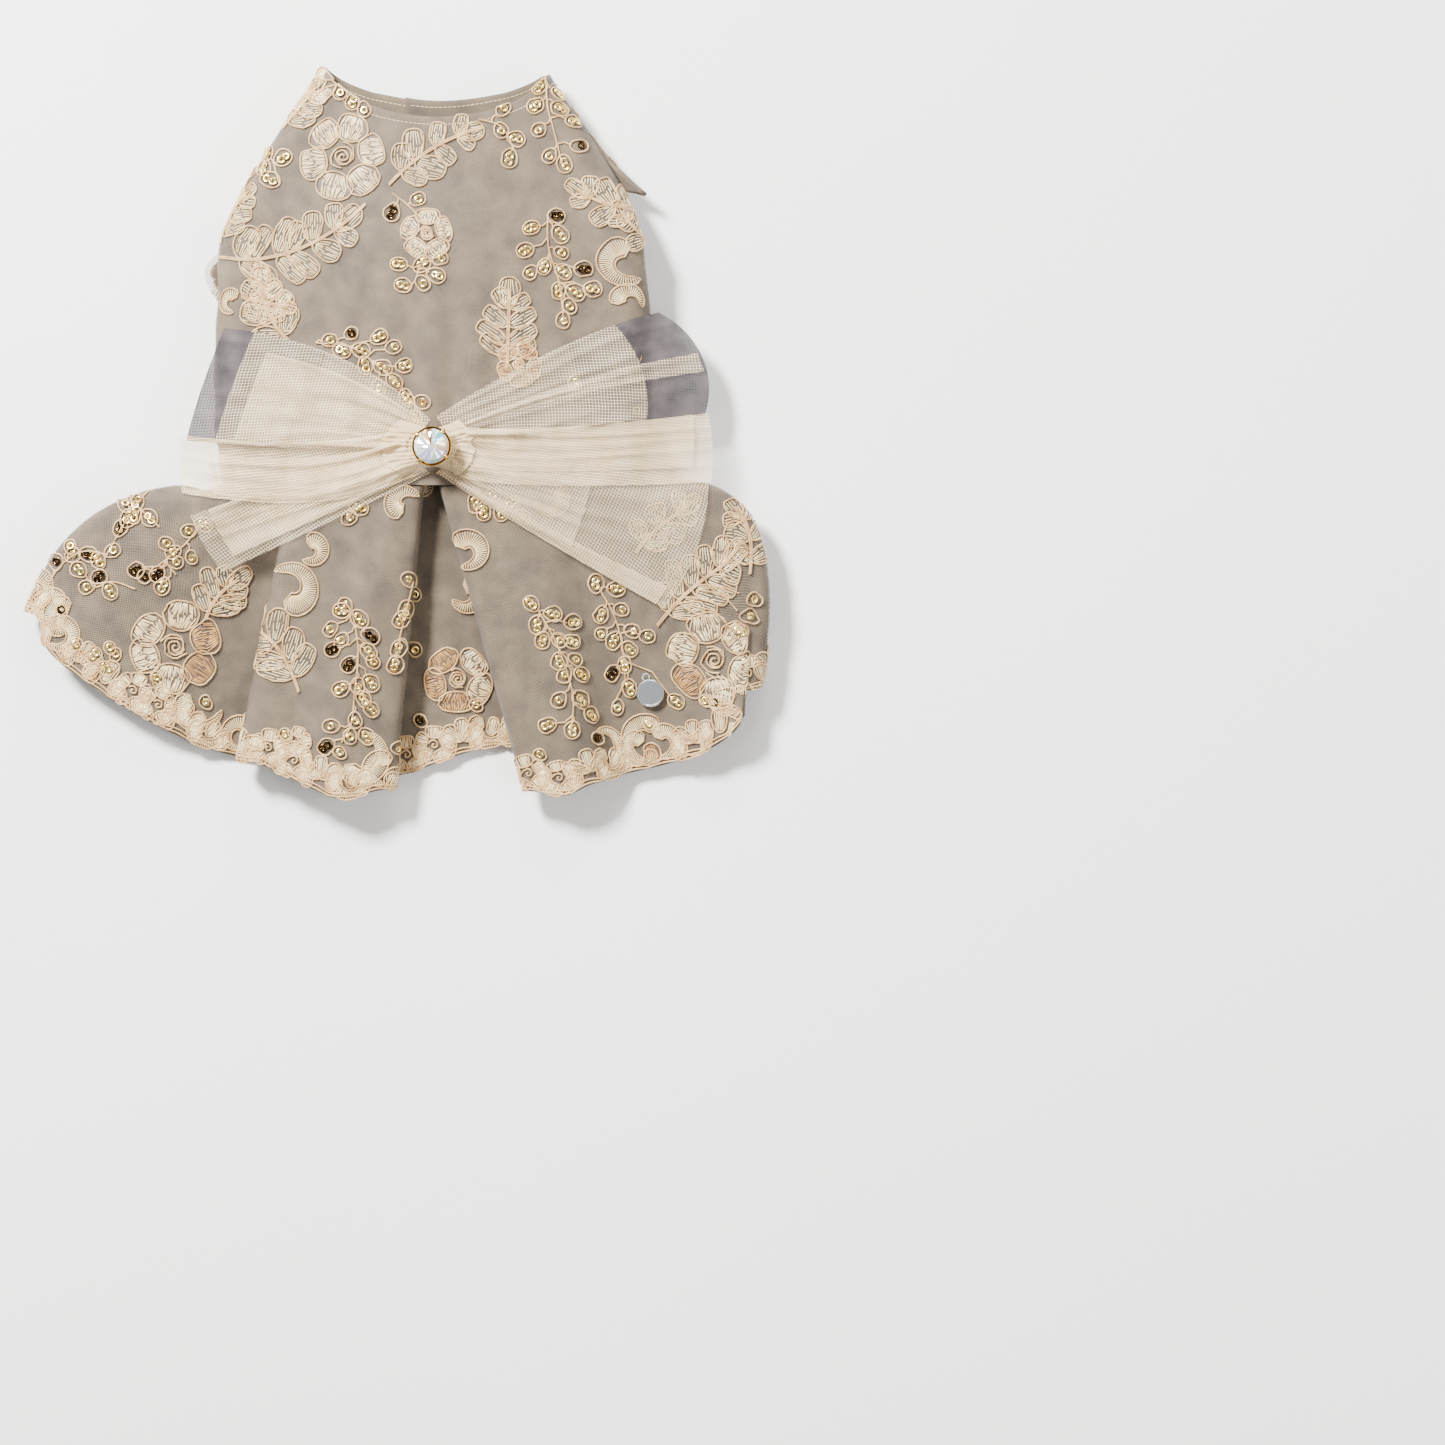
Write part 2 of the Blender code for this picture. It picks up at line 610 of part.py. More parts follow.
def build_sheet(sheet, below):
    """One strip of the bow, gathered at the knot and laid on what is below it."""
    tree = tree_of(below)
    points = np.zeros((SHEET_STEPS_OUT + 1, SHEET_STEPS_ACROSS + 1, 3))
    reach = 0.75 * BOW_REACH / SHEET_STEPS_OUT
    foot_top, foot_low = BOW_REACH * Vector(sheet.top_in), BOW_REACH * Vector(sheet.low_in)
    for i, t in enumerate(np.linspace(0, 1, SHEET_STEPS_OUT + 1).tolist()):
        top = edge_point(sheet.top_in, sheet.top_mid, sheet.top_out, t)
        low = edge_point(sheet.low_in, sheet.low_mid, sheet.low_out, t)
        for j, w in enumerate(np.linspace(0, 1, SHEET_STEPS_ACROSS + 1).tolist()):
            across = low.lerp(top, w)
            outward = across.normalized() * sheet.swell * BOW_REACH
            foot = foot_low.lerp(foot_top, w)
            inside = math.hypot(foot.x / (KNOT_LENGTH / 2), foot.y / (KNOT_WIDTH / 2))
            clear = foot * max(KNOT_CLEARANCE / inside - 1, 0.0) * (1 - t) ** 3
            spot = across + clear + outward * t**3 * 4 * w * (1 - w)
            x, y = BOW_X + spot.x, BOW_Y + spot.y
            shelf = BOW_SHELF - BOW_DROOP * (spot.length / BOW_REACH) ** 2
            gather = BOW_GATHER * (0.5 - 0.5 * math.cos(2 * math.pi * SHEET_PLEATS * w))
            rest = max(top_near(tree, x, y, reach) + GAP, shelf)
            points[i, j] = x, y, rest + gather * ease(t * 3)
    upright = np.zeros_like(points)
    upright[:, :, 2] = 1
    return wall(sheet.name, points, upright, 0.0, TULLE_WALL, "tulle")


def build_knot(below):
    """The gathered knot that the strips come out of, flat on top for the stone's cup."""
    form = bmesh.new()
    bmesh.ops.create_uvsphere(form, u_segments=18, v_segments=10, radius=0.5)
    bmesh.ops.scale(form, vec=(KNOT_LENGTH, KNOT_WIDTH, KNOT_HEIGHT / 0.8), verts=form.verts)
    for vertex in form.verts:
        vertex.co.z = min(max(vertex.co.z, -KNOT_HEIGHT / 2), KNOT_HEIGHT / 2)
    footing = top_near(tree_of(below), BOW_X, BOW_Y, KNOT_WIDTH / 2)
    at = (BOW_X, BOW_Y, footing + GAP + KNOT_HEIGHT / 2)
    bmesh.ops.dissolve_limit(form, angle_limit=0.01, verts=form.verts, edges=form.edges)
    bmesh.ops.triangulate(form, faces=form.faces)
    return finished("bow_knot", form, "tulle", at)


def build_stone(seat_z):
    """The cut stone and the clawed cup that is sewn on the knot."""
    cup_radius = STONE_RADIUS + GAP + CUP_WALL
    girdle = CUP_WALL + GAP + STONE_PAVILION
    cup = turned("stone_cup", (
        (0.0, 0.0), (cup_radius * 0.8, 0.0), (cup_radius, CUP_DEPTH),
        (cup_radius - CUP_WALL, CUP_DEPTH), (cup_radius * 0.8 - CUP_WALL, CUP_WALL), (0.0, CUP_WALL),
    ), 16, "gold", (BOW_X, BOW_Y, seat_z))
    bpy.context.view_layer.update()
    claw_foot, claw_top = CUP_DEPTH * 0.4, girdle + STONE_GIRDLE + 1.2 * CLAW_RADIUS
    shank = CLAW_RADIUS * 0.75
    profile = (
        (0.0, claw_foot), (shank, claw_foot), (shank, claw_top - CLAW_RADIUS * 0.7),
        (CLAW_RADIUS, claw_top), (shank, claw_top + CLAW_RADIUS * 0.7), (0.0, claw_top + CLAW_RADIUS),
    )
    away = cup_radius + CLAW_RADIUS * 0.35
    for turn in CLAW_TURNS:
        spot = away * Vector((math.cos(turn * math.pi), math.sin(turn * math.pi), 0.0))
        claw = turned("claw", profile, 6, "gold", spot + Vector((BOW_X, BOW_Y, seat_z)))
        bpy.context.view_layer.update()
        join_to(cup, claw)
    stone = turned("stone", (
        (0.0, -STONE_PAVILION), (STONE_RADIUS, 0.0), (STONE_RADIUS, STONE_GIRDLE),
        (STONE_TABLE_RADIUS, STONE_GIRDLE + STONE_CROWN), (0.0, STONE_GIRDLE + STONE_CROWN),
    ), STONE_FACETS, "stone", (BOW_X, BOW_Y, seat_z + girdle))
    return [cup, stone]


def build_bow(below):
    """The bow's strips, its knot and its stone, each laid on what came before."""
    knot = build_knot(below)
    laid = list(below)
    for sheet in BOW_SHEETS:
        laid.append(build_sheet(sheet, laid))
    build_stone(knot.location.z + KNOT_HEIGHT / 2 + GAP)


# Charm

def build_charm(below):
    """The round charm with its eye, lying on the skirt."""
    tree = tree_of(below)
    spots = [(CHARM_X, CHARM_Y)]
    spots += [
        (CHARM_X + CHARM_RADIUS * math.cos(k * math.pi / 4),
         CHARM_Y + CHARM_RADIUS * math.sin(k * math.pi / 4)) for k in range(8)
    ]
    hits = [tree.ray_cast(Vector((x, y, 1.0)), Vector((0, 0, -1)))[0] for x, y in spots]
    normal = (hits[1] - hits[5]).cross(hits[3] - hits[7]).normalized()
    rise = max((hit - hits[0]).dot(normal) for hit in hits)

    form = bmesh.new()
    bmesh.ops.create_cone(form, cap_ends=True, segments=28, radius1=CHARM_RADIUS,
                          radius2=CHARM_RADIUS, depth=CHARM_WALL)
    charm = finished("charm", form, "steel")
    eye_at = CHARM_RADIUS + CHARM_EYE_RADIUS * 0.8
    bpy.ops.mesh.primitive_torus_add(
        major_radius=CHARM_EYE_RADIUS, minor_radius=CHARM_EYE_WIRE,
        major_segments=14, minor_segments=6,
        location=(eye_at * math.cos(CHARM_TURN), eye_at * math.sin(CHARM_TURN), 0),
    )
    eye = bpy.context.object
    join_to(charm, eye)
    lean = normal.to_track_quat("Z", "Y").to_matrix().to_4x4()
    centre = hits[0] + normal * (rise + GAP + CHARM_WALL / 2)
    charm.matrix_world = Matrix.Translation(centre) @ lean
    return charm


def main():
    """Clears the scene and builds the dress from the body outwards."""
    for obj in list(bpy.data.objects):
        bpy.data.objects.remove(obj)
    collection = bpy.data.collections.new("dog_dress")
    bpy.context.scene.collection.children.link(collection)
    back = build_back()
    build_belly_band()
    build_throat_band()
    for flounce in FLOUNCES:
        build_flounce(flounce)
    skirt = build_skirt()
    build_bow(back + skirt)
    build_charm(skirt)


main()
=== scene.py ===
"""The looks of the dog dress: fleece, embroidered net, tulle bow, cut stone and charm.

Lengths are in metres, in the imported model's frame: X across the dress, Y from skirt to neck, Z up
from the surface that it lies on. Motifs are placed by pixels of the photograph, which is 1445
wide and looks straight down.
"""

from __future__ import annotations

import json
import logging
import math
from dataclasses import dataclass, field
from enum import Enum
from functools import cached_property
from typing import Callable, NamedTuple, Sequence

import bmesh
import bpy
import numpy as np
from mathutils import Matrix, Vector, noise
from mathutils.bvhtree import BVHTree

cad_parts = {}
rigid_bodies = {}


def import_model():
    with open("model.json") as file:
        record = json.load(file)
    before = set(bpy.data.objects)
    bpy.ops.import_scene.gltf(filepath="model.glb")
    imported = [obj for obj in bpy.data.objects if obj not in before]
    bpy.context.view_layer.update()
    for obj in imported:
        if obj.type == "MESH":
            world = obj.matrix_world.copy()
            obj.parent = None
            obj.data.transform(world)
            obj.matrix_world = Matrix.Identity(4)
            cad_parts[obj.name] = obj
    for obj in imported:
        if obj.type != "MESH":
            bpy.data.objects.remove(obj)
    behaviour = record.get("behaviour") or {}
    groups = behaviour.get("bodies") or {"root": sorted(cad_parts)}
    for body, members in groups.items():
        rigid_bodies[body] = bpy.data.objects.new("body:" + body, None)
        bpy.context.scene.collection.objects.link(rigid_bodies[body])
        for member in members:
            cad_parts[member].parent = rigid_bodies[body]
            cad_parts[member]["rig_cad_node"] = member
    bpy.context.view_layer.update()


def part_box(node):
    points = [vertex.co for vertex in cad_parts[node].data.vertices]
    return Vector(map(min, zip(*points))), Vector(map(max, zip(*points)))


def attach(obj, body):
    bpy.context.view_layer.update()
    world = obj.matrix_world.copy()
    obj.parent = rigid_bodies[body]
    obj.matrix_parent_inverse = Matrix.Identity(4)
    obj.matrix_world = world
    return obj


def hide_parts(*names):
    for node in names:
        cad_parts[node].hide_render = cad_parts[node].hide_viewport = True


LOG = logging.getLogger("dog_dress")
Array = np.ndarray
PIXEL = 0.00035
PHOTO_MIDDLE = (435.0, 406.0)
PHOTO_SIDE = 1445
QUARTER = math.pi / 2
FULL_TURN = 2 * math.pi
ORIGIN, UP = (0, 0, 0), (0, 0, 1)

# How thick the fleece is, how far the net lies off the fleece's middle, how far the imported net's
# outer face does, and how far apart folded layers lie
LINING_WALL = 0.0016
LACE_LIFT = 0.0011
LACE_OUT = 0.0021
FOLD_PITCH = 0.0054


def photo_spot(px: float, py: float) -> tuple[float, float]:
    """Where a pixel of the photograph lies, as X and Y in metres."""
    return (px - PHOTO_MIDDLE[0]) * PIXEL, (PHOTO_MIDDLE[1] - py) * PIXEL


def ease(t: float) -> float:
    """0 below 0, 1 above 1, and a smooth step between them."""
    t = min(max(t, 0.0), 1.0)
    return t * t * (3 - 2 * t)


def smooth_through(xs: Sequence[float], ys: Sequence[float], at: float) -> float:
    """A value on a smooth curve that goes through points and never overshoots them.

    Args:
        xs: The points' places, rising.
        ys: The points' values.
        at: The place that is asked for.

    Returns:
        The curve's value there.
    """
    xs, ys = np.asarray(xs, float), np.asarray(ys, float)
    steps = np.diff(xs)
    slopes = np.diff(ys) / steps
    bends = np.zeros(len(xs))
    bends[0], bends[-1] = slopes[0], slopes[-1]
    for i in range(1, len(xs) - 1):
        if slopes[i - 1] * slopes[i] > 0:
            bends[i] = 2 / (1 / slopes[i - 1] + 1 / slopes[i])
    at = min(max(at, xs[0]), xs[-1])
    i = min(int(np.searchsorted(xs, at, side="right")) - 1, len(steps) - 1)
    t = (at - xs[i]) / steps[i]
    low = (1 + 2 * t) * (1 - t) ** 2 * ys[i] + t * (1 - t) ** 2 * steps[i] * bends[i]
    high = t * t * (3 - 2 * t) * ys[i + 1] + t * t * (t - 1) * steps[i] * bends[i + 1]
    return float(low + high)


def curve_through(lines: Array, steps: int) -> Array:
    """Lines of points drawn through a row of lines, so that cloth bends smoothly between them.

    Args:
        lines: Points indexed [line][row][xyz].
        steps: How many spans the drawn surface has across the lines.

    Returns:
        Points indexed [column][row][xyz], evenly spaced by length.
    """
    row = lines[:, int(lines.shape[1] * 0.75)]
    spans = np.maximum(np.linalg.norm(np.diff(row, axis=0), axis=1), 1e-6)
    places = np.concatenate(([0.0], np.cumsum(spans)))
    slopes = np.diff(lines, axis=0) / spans[:, None, None]
    bends = np.zeros_like(lines)
    bends[0], bends[-1] = slopes[0], slopes[-1]
    before, after = spans[:-1, None, None], spans[1:, None, None]
    bends[1:-1] = (slopes[:-1] * after + slopes[1:] * before) / (before + after)
    asked = np.linspace(0.0, places[-1], steps + 1)
    i = np.clip(np.searchsorted(places, asked, side="right") - 1, 0, len(spans) - 1)
    t = ((asked - places[i]) / spans[i])[:, None, None]
    step = spans[i][:, None, None]
    start = (1 + 2 * t) * (1 - t) ** 2 * lines[i] + t * (1 - t) ** 2 * step * bends[i]
    end = t * t * (3 - 2 * t) * lines[i + 1] + t * t * (t - 1) * step * bends[i + 1]
    return start + end


def run_along(line: Array) -> Array:
    """How far along a line of points each of them lies."""
    return np.concatenate(([0.0], np.cumsum(np.linalg.norm(np.diff(line, axis=0), axis=1))))


def to_unit(vectors: Array, least: float = 1e-9) -> Array:
    """Vectors brought to a length of 1, with nothing divided by less than the least."""
    return vectors / np.maximum(np.linalg.norm(vectors, axis=-1, keepdims=True), least)


# Finishes

class Shade(NamedTuple):
    """A linear colour."""

    red: float
    green: float
    blue: float

    @property
    def rgba(self) -> tuple[float, float, float, float]:
        """The colour with full alpha, as a socket takes it."""
        return (self.red, self.green, self.blue, 1.0)


def by_eye(red: int, green: int, blue: int) -> Shade:
    """A linear colour from one matched on a screen.

    Args:
        red: Its red, 0 to 255.
        green: Its green.
        blue: Its blue.

    Returns:
        The linear colour.
    """
    def linear(value: int) -> float:
        """One channel, from the screen's curve to a straight one."""
        share = value / 255
        return share / 12.92 if share <= 0.04045 else ((share + 0.055) / 1.055) ** 2.4
    return Shade(linear(red), linear(green), linear(blue))


class Weave:
    """A material's node tree, with short ways to add what a finish needs."""

    def __init__(self, name: str, roughness: float, metallic: float = 0.0) -> None:
        """Starts a material with one Principled shader."""
        self.material = bpy.data.materials.new(name)
        self.material.use_nodes = True
        self.tree = self.material.node_tree
        self.shader = self.tree.nodes["Principled BSDF"]
        self.put("Roughness", roughness)
        self.put("Metallic", metallic)

    def put(self, socket: str, value: object) -> None:
        """Sets a socket of the shader to a constant."""
        self.shader.inputs[socket].default_value = value

    def node(self, kind: str, **settings: object) -> bpy.types.Node:
        """Adds a node with its settings."""
        made = self.tree.nodes.new(kind)
        for key, value in settings.items():
            setattr(made, key, value)
        return made

    def join(self, start: bpy.types.NodeSocket, end: bpy.types.NodeSocket) -> None:
        """Links two sockets."""
        self.tree.links.new(start, end)

    def coordinates(
        self, on_cloth: bool, scale: float, turn: float = 0.0, stretch: float = 1.0
    ) -> bpy.types.NodeSocket:
        """Coordinates in units of one pattern cell.

        Args:
            on_cloth: Whether the pattern follows the cloth's own map instead of the object.
            scale: Cells in a metre.
            turn: The pattern's turn in degrees.
            stretch: How many times as long as wide a cell is.

        Returns:
            The socket that gives them.
        """
        source = self.node("ShaderNodeTexCoord")
        mapping = self.node("ShaderNodeMapping")
        mapping.inputs["Scale"].default_value = (scale, scale / stretch, scale)
        mapping.inputs["Rotation"].default_value[2] = math.radians(turn)
        self.join(source.outputs["UV" if on_cloth else "Object"], mapping.inputs["Vector"])
        return mapping.outputs["Vector"]

    def cloudy(
        self, coordinates: bpy.types.NodeSocket, detail: float = 3.0
    ) -> bpy.types.NodeSocket:
        """Soft noise over the coordinates.

        Args:
            coordinates: The socket that gives them.
            detail: How many finer layers it has.

        Returns:
            The socket that gives the noise, 0 to 1.
        """
        made = self.node("ShaderNodeTexNoise")
        made.inputs["Scale"].default_value = 1.0
        made.inputs["Detail"].default_value = detail
        self.join(coordinates, made.inputs["Vector"])
        return made.outputs["Fac"]

    def between(
        self, amount: bpy.types.NodeSocket, first: Shade, second: Shade,
        low: float = 0.35, high: float = 0.65,
    ) -> bpy.types.NodeSocket:
        """A colour between two.

        Args:
            amount: The socket that decides.
            first: The colour at low.
            second: The colour at high.
            low: The amount up to which the first colour is kept.
            high: The amount from which the second is kept.

        Returns:
            The socket that gives the colour.
        """
        ramp = self.node("ShaderNodeValToRGB")
        ramp.color_ramp.elements[0].position = low
        ramp.color_ramp.elements[0].color = first.rgba
        ramp.color_ramp.elements[1].position = high
        ramp.color_ramp.elements[1].color = second.rgba
        self.join(amount, ramp.inputs["Fac"])
        return ramp.outputs["Color"]

    def ranged(
        self, amount: bpy.types.NodeSocket, low: float, high: float, start: float, end: float
    ) -> bpy.types.NodeSocket:
        """An amount brought from one range to another, and held at its ends.

        Args:
            amount: The socket that gives it.
            low: The start of its range.
            high: The end of it.
            start: What low becomes.
            end: What high becomes.

        Returns:
            The socket that gives the new amount.
        """
        made = self.node("ShaderNodeMapRange")
        keys = ("From Min", "From Max", "To Min", "To Max")
        for key, value in zip(keys, (low, high, start, end)):
            made.inputs[key].default_value = value
        self.join(amount, made.inputs["Value"])
        return made.outputs["Result"]

    def cells(
        self, coordinates: bpy.types.NodeSocket, unevenness: float
    ) -> bpy.types.NodeSocket:
        """The cells of a net.

        Args:
            coordinates: The socket of coordinates, one unit a cell.
            unevenness: 0 for a regular net, up to 1.

        Returns:
            The socket that gives how far a place is from the threads, in cells.
        """
        made = self.node(
            "ShaderNodeTexVoronoi", voronoi_dimensions="2D", feature="DISTANCE_TO_EDGE"
        )
        made.inputs["Scale"].default_value = 1.0
        made.inputs["Randomness"].default_value = unevenness
        self.join(coordinates, made.inputs["Vector"])
        return made.outputs["Distance"]

    def raise_by(self, height: bpy.types.NodeSocket, depth: float) -> None:
        """Bumps the surface by a height, depth metres at most."""
        bump = self.node("ShaderNodeBump")
        bump.inputs["Distance"].default_value = depth
        bump.inputs["Strength"].default_value = 1.0
        self.join(height, bump.inputs["Height"])
        self.join(bump.outputs["Normal"], self.shader.inputs["Normal"])

    def colour(self, source: bpy.types.NodeSocket) -> None:
        """Gives the shader its colour."""
        self.join(source, self.shader.inputs["Base Color"])


@dataclass(frozen=True)
class Fleece:
    """Brushed knit: short soft fibres over faint rows."""

    name: str = "brushed_fleece"
    light: Shade = by_eye(108, 94, 75)
    dark: Shade = by_eye(76, 66, 55)
    fibre: float = 0.0004

    def make(self) -> bpy.types.Material:
        """Builds the material."""
        weave = Weave(self.name, 0.95)
        weave.put("Sheen Weight", 0.15)
        weave.put("Sheen Roughness", 0.5)
        clouds = weave.cloudy(weave.coordinates(False, 90))
        weave.colour(weave.between(clouds, self.dark, self.light, 0.3, 0.7))
        fuzz = weave.cloudy(weave.coordinates(True, 1 / self.fibre, stretch=2.2), 5.0)
        weave.raise_by(fuzz, 0.00035)
        return weave.material


@dataclass(frozen=True)
class Net:
    """A net whose threads cover part of what lies under it."""

    name: str
    light: Shade
    dark: Shade
    cell: float
    thread: float
    haze: float
    turn: float = 45.0
    unevenness: float = 0.0
    stretch: float = 1.0

    def make(self) -> bpy.types.Material:
        """Builds the material. Threads are opaque, and the holes keep a little haze."""
        weave = Weave(self.name, 0.7)
        weave.put("Sheen Weight", 0.12)
        weave.put("Sheen Roughness", 0.4)
        grid = weave.coordinates(True, 1 / self.cell, self.turn, self.stretch)
        far = weave.cells(grid, self.unevenness)
        clouds = weave.cloudy(weave.coordinates(False, 140))
        weave.colour(weave.between(clouds, self.dark, self.light, 0.3, 0.7))
        cover = weave.ranged(far, self.thread * 0.6, self.thread * 1.3, 1.0, self.haze)
        weave.join(cover, weave.shader.inputs["Alpha"])
        return weave.material


@dataclass(frozen=True)
class Thread:
    """Shiny embroidery thread with small shifts of tone."""

    name: str
    light: Shade
    dark: Shade
    roughness: float
    sheen: float = 0.25

    def make(self) -> bpy.types.Material:
        """Builds the material."""
        weave = Weave(self.name, self.roughness)
        weave.put("Sheen Weight", self.sheen)
        weave.put("Specular IOR Level", 0.85)
        clouds = weave.cloudy(weave.coordinates(False, 260), 4.0)
        weave.colour(weave.between(clouds, self.dark, self.light, 0.3, 0.7))
        strands = weave.cloudy(weave.coordinates(False, 4200), 2.0)
        weave.raise_by(strands, 0.00009)
        return weave.material


@dataclass(frozen=True)
class Metal:
    """Plated or brushed metal."""

    name: str
    light: Shade
    dark: Shade
    roughness: float
    grain: float = 900.0
    depth: float = 0.00002

    def make(self) -> bpy.types.Material:
        """Builds the material."""
        weave = Weave(self.name, self.roughness, 1.0)
        clouds = weave.cloudy(weave.coordinates(False, self.grain))
        weave.colour(weave.between(clouds, self.dark, self.light))
        weave.raise_by(clouds, self.depth)
        return weave.material


@dataclass(frozen=True)
class CutStone:
    """A foiled cut stone with an iridescent coat, whose reflections are painted as tinted wedges
    round its middle.
    """

    name: str = "foiled_stone"
    centre: tuple[float, float] = (0.0007, -0.0158)

    def make(self) -> bpy.types.Material:
        """Builds the material."""
        weave = Weave(self.name, 0.06, 0.55)
        weave.put("Specular IOR Level", 0.8)
        weave.put("Coat Weight", 1.0)
        weave.put("Coat Roughness", 0.02)
        weave.put("Thin Film Thickness", 420.0)
        weave.put("Thin Film IOR", 1.6)
        source = weave.node("ShaderNodeTexCoord")
        mapping = weave.node("ShaderNodeMapping")
        mapping.inputs["Location"].default_value = (-self.centre[0], -self.centre[1], 0.0)
        weave.join(source.outputs["Object"], mapping.inputs["Vector"])
        round_it = weave.node("ShaderNodeTexGradient", gradient_type="RADIAL")
        weave.join(mapping.outputs["Vector"], round_it.inputs["Vector"])
        ramp = weave.node("ShaderNodeValToRGB")
        ramp.color_ramp.interpolation = "CONSTANT"
        # Painted reflections: where each wedge starts, as a share of a turn, and its tint
        painted_reflections = (
            (0.00, by_eye(246, 246, 244)), (0.10, by_eye(205, 214, 236)),
            (0.17, by_eye(246, 240, 250)), (0.26, by_eye(196, 222, 190)),
            (0.33, by_eye(226, 214, 240)), (0.42, by_eye(240, 206, 176)),
            (0.52, by_eye(250, 228, 200)), (0.60, by_eye(140, 214, 226)),
            (0.67, by_eye(220, 244, 246)), (0.74, by_eye(120, 92, 60)),
            (0.80, by_eye(232, 196, 150)), (0.87, by_eye(250, 250, 250)),
        )
        for place, tint in painted_reflections[2:]:
            ramp.color_ramp.elements.new(place).color = tint.rgba
        for slot, (place, tint) in enumerate(painted_reflections[:2]):
            ramp.color_ramp.elements[slot].position = place
            ramp.color_ramp.elements[slot].color = tint.rgba
        weave.join(round_it.outputs["Fac"], ramp.inputs["Fac"])
        weave.colour(ramp.outputs["Color"])
        return weave.material


@dataclass(frozen=True)
class Plain:
    """A matt surface with a faint mottle, for the floor and the hook-and-loop strips."""

    name: str
    light: Shade
    dark: Shade
    grain: float

    def make(self) -> bpy.types.Material:
        """Builds the material."""
        weave = Weave(self.name, 0.9)
        clouds = weave.cloudy(weave.coordinates(False, self.grain), 2.0)
        weave.colour(weave.between(clouds, self.dark, self.light))
        weave.raise_by(clouds, 0.0002)
        return weave.material


class Finish(Enum):
    """Every finish on the dress, by the maker's word for it."""

    FLEECE = Fleece()
    GROUND_NET = Net("ground_net", by_eye(138, 121, 99), by_eye(96, 84, 73), 0.00062, 0.12, 0.08)
    TULLE = Net(
        "bow_tulle", by_eye(240, 218, 180), by_eye(218, 194, 154),
        0.00108, 0.06, 0.1, 8.0, 0.1,
    )
    TULLE_FULL = Net(
        "bow_tulle_full", by_eye(240, 216, 174), by_eye(212, 184, 138),
        0.00104, 0.09, 0.24, 8.0, 0.12,
    )
    TULLE_DARK = Net(
        "bow_tulle_single", by_eye(82, 72, 72), by_eye(44, 39, 42),
        0.00104, 0.15, 0.84, 8.0, 0.1,
    )
    TULLE_KNOT = Net(
        "bow_tulle_gathered", by_eye(240, 214, 170), by_eye(208, 178, 132),
        0.00088, 0.14, 0.5, 4.0, 0.2,
    )
    SATIN = Thread("satin_thread", by_eye(255, 238, 188), by_eye(216, 174, 110), 0.26, 0.15)
    SATIN_TAN = Thread("tan_thread", by_eye(214, 164, 92), by_eye(148, 100, 50), 0.28, 0.1)
    # The padding under the satin is dark brown: painted shade that shows in the gaps between the
    # threads
    PAD_PAINTED_SHADE = Thread("pad_painted_shade", by_eye(98, 70, 40), by_eye(58, 42, 27), 0.6, 0.05)
    CORD = Thread("outline_cord", by_eye(220, 182, 124), by_eye(166, 122, 72), 0.36, 0.1)
    SEQUIN = Metal("sequin_gold", by_eye(255, 232, 156), by_eye(244, 200, 108), 0.22, 300.0)
    # Dark sequins: their colour is a painted dark reflection, as mirror sequins show when tilted
    # away from the light
    SEQUIN_PAINTED_DARK = Metal("sequin_painted_dark_reflection", by_eye(100, 72, 38), by_eye(26, 21, 15), 0.12, 500.0)
    GOLD = Metal("gold_plate", by_eye(236, 196, 104), by_eye(206, 156, 66), 0.18, 700.0)
    STEEL = Metal(
        "charm_plate", by_eye(226, 231, 236), by_eye(204, 211, 217), 0.3, 4200.0, 0.00001
    )
    STONE = CutStone()
    TAPE = Plain("closure_tape", by_eye(150, 142, 130), by_eye(122, 114, 104), 1800.0)
    FLOOR = Plain("floor_board", by_eye(250, 249, 247), by_eye(247, 246, 243), 3.0)

    @property
    def material(self) -> bpy.types.Material:
        """The Blender material of this finish, made once."""
        return bpy.data.materials.get(self.value.name) or self.value.make()


# Pieces and cloth

def piece(
    name: str, mesh: bpy.types.Mesh, finish: Finish, slot: str, *nodes: str
) -> bpy.types.Object:
    """Puts a mesh in the scene as a piece of the dress.

    Args:
        name: The piece's name.
        mesh: Its mesh, already in place.
        finish: What it is finished in.
        slot: The record's material slot; not used.
        nodes: The CAD nodes that it stands for.

    Returns:
        The new object.
    """
    obj = bpy.data.objects.new(name, mesh)
    mesh.materials.append(finish.material)
    bpy.context.scene.collection.objects.link(obj)
    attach(obj, "root")
    if nodes:
        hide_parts(*nodes)
    LOG.info("%s: %d faces", name, len(mesh.polygons))
    return obj


def as_mesh(
    name: str, form: bmesh.types.BMesh, smooth: bool = True, crease: float = 0.0
) -> bpy.types.Mesh:
    """Turns a bmesh into a mesh and frees it.

    Args:
        name: The mesh's name.
        form: The bmesh.
        smooth: Whether it is shaded smooth.
        crease: The angle past which an edge stays sharp, or 0 for none.

    Returns:
        The mesh.
    """
    mesh = bpy.data.meshes.new(name)
    form.to_mesh(mesh)
    form.free()
    mesh.polygons.foreach_set("use_smooth", [smooth] * len(mesh.polygons))
    if crease:
        mesh.set_sharp_from_angle(angle=crease)
    return mesh


def packed_object(node: str) -> bpy.types.Object:
    """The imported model's own object of a CAD node."""
    return next(o for o in bpy.context.scene.objects if o.get("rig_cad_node") == node)


def spin_section(
    form: bmesh.types.BMesh, section: Sequence[tuple[float, float]], steps: int
) -> None:
    """Turns a section round the Z axis.

    Args:
        form: The bmesh that takes the turned shape.
        section: Its points, each a radius and a height.
        steps: How many spans go round.
    """
    corners = [form.verts.new((radius, 0, height)) for radius, height in section]
    edges = [form.edges.new(pair) for pair in zip(corners, corners[1:])]
    bmesh.ops.spin(
        form, geom=corners + edges, cent=ORIGIN, axis=UP, angle=FULL_TURN, steps=steps,
        use_merge=True,
    )


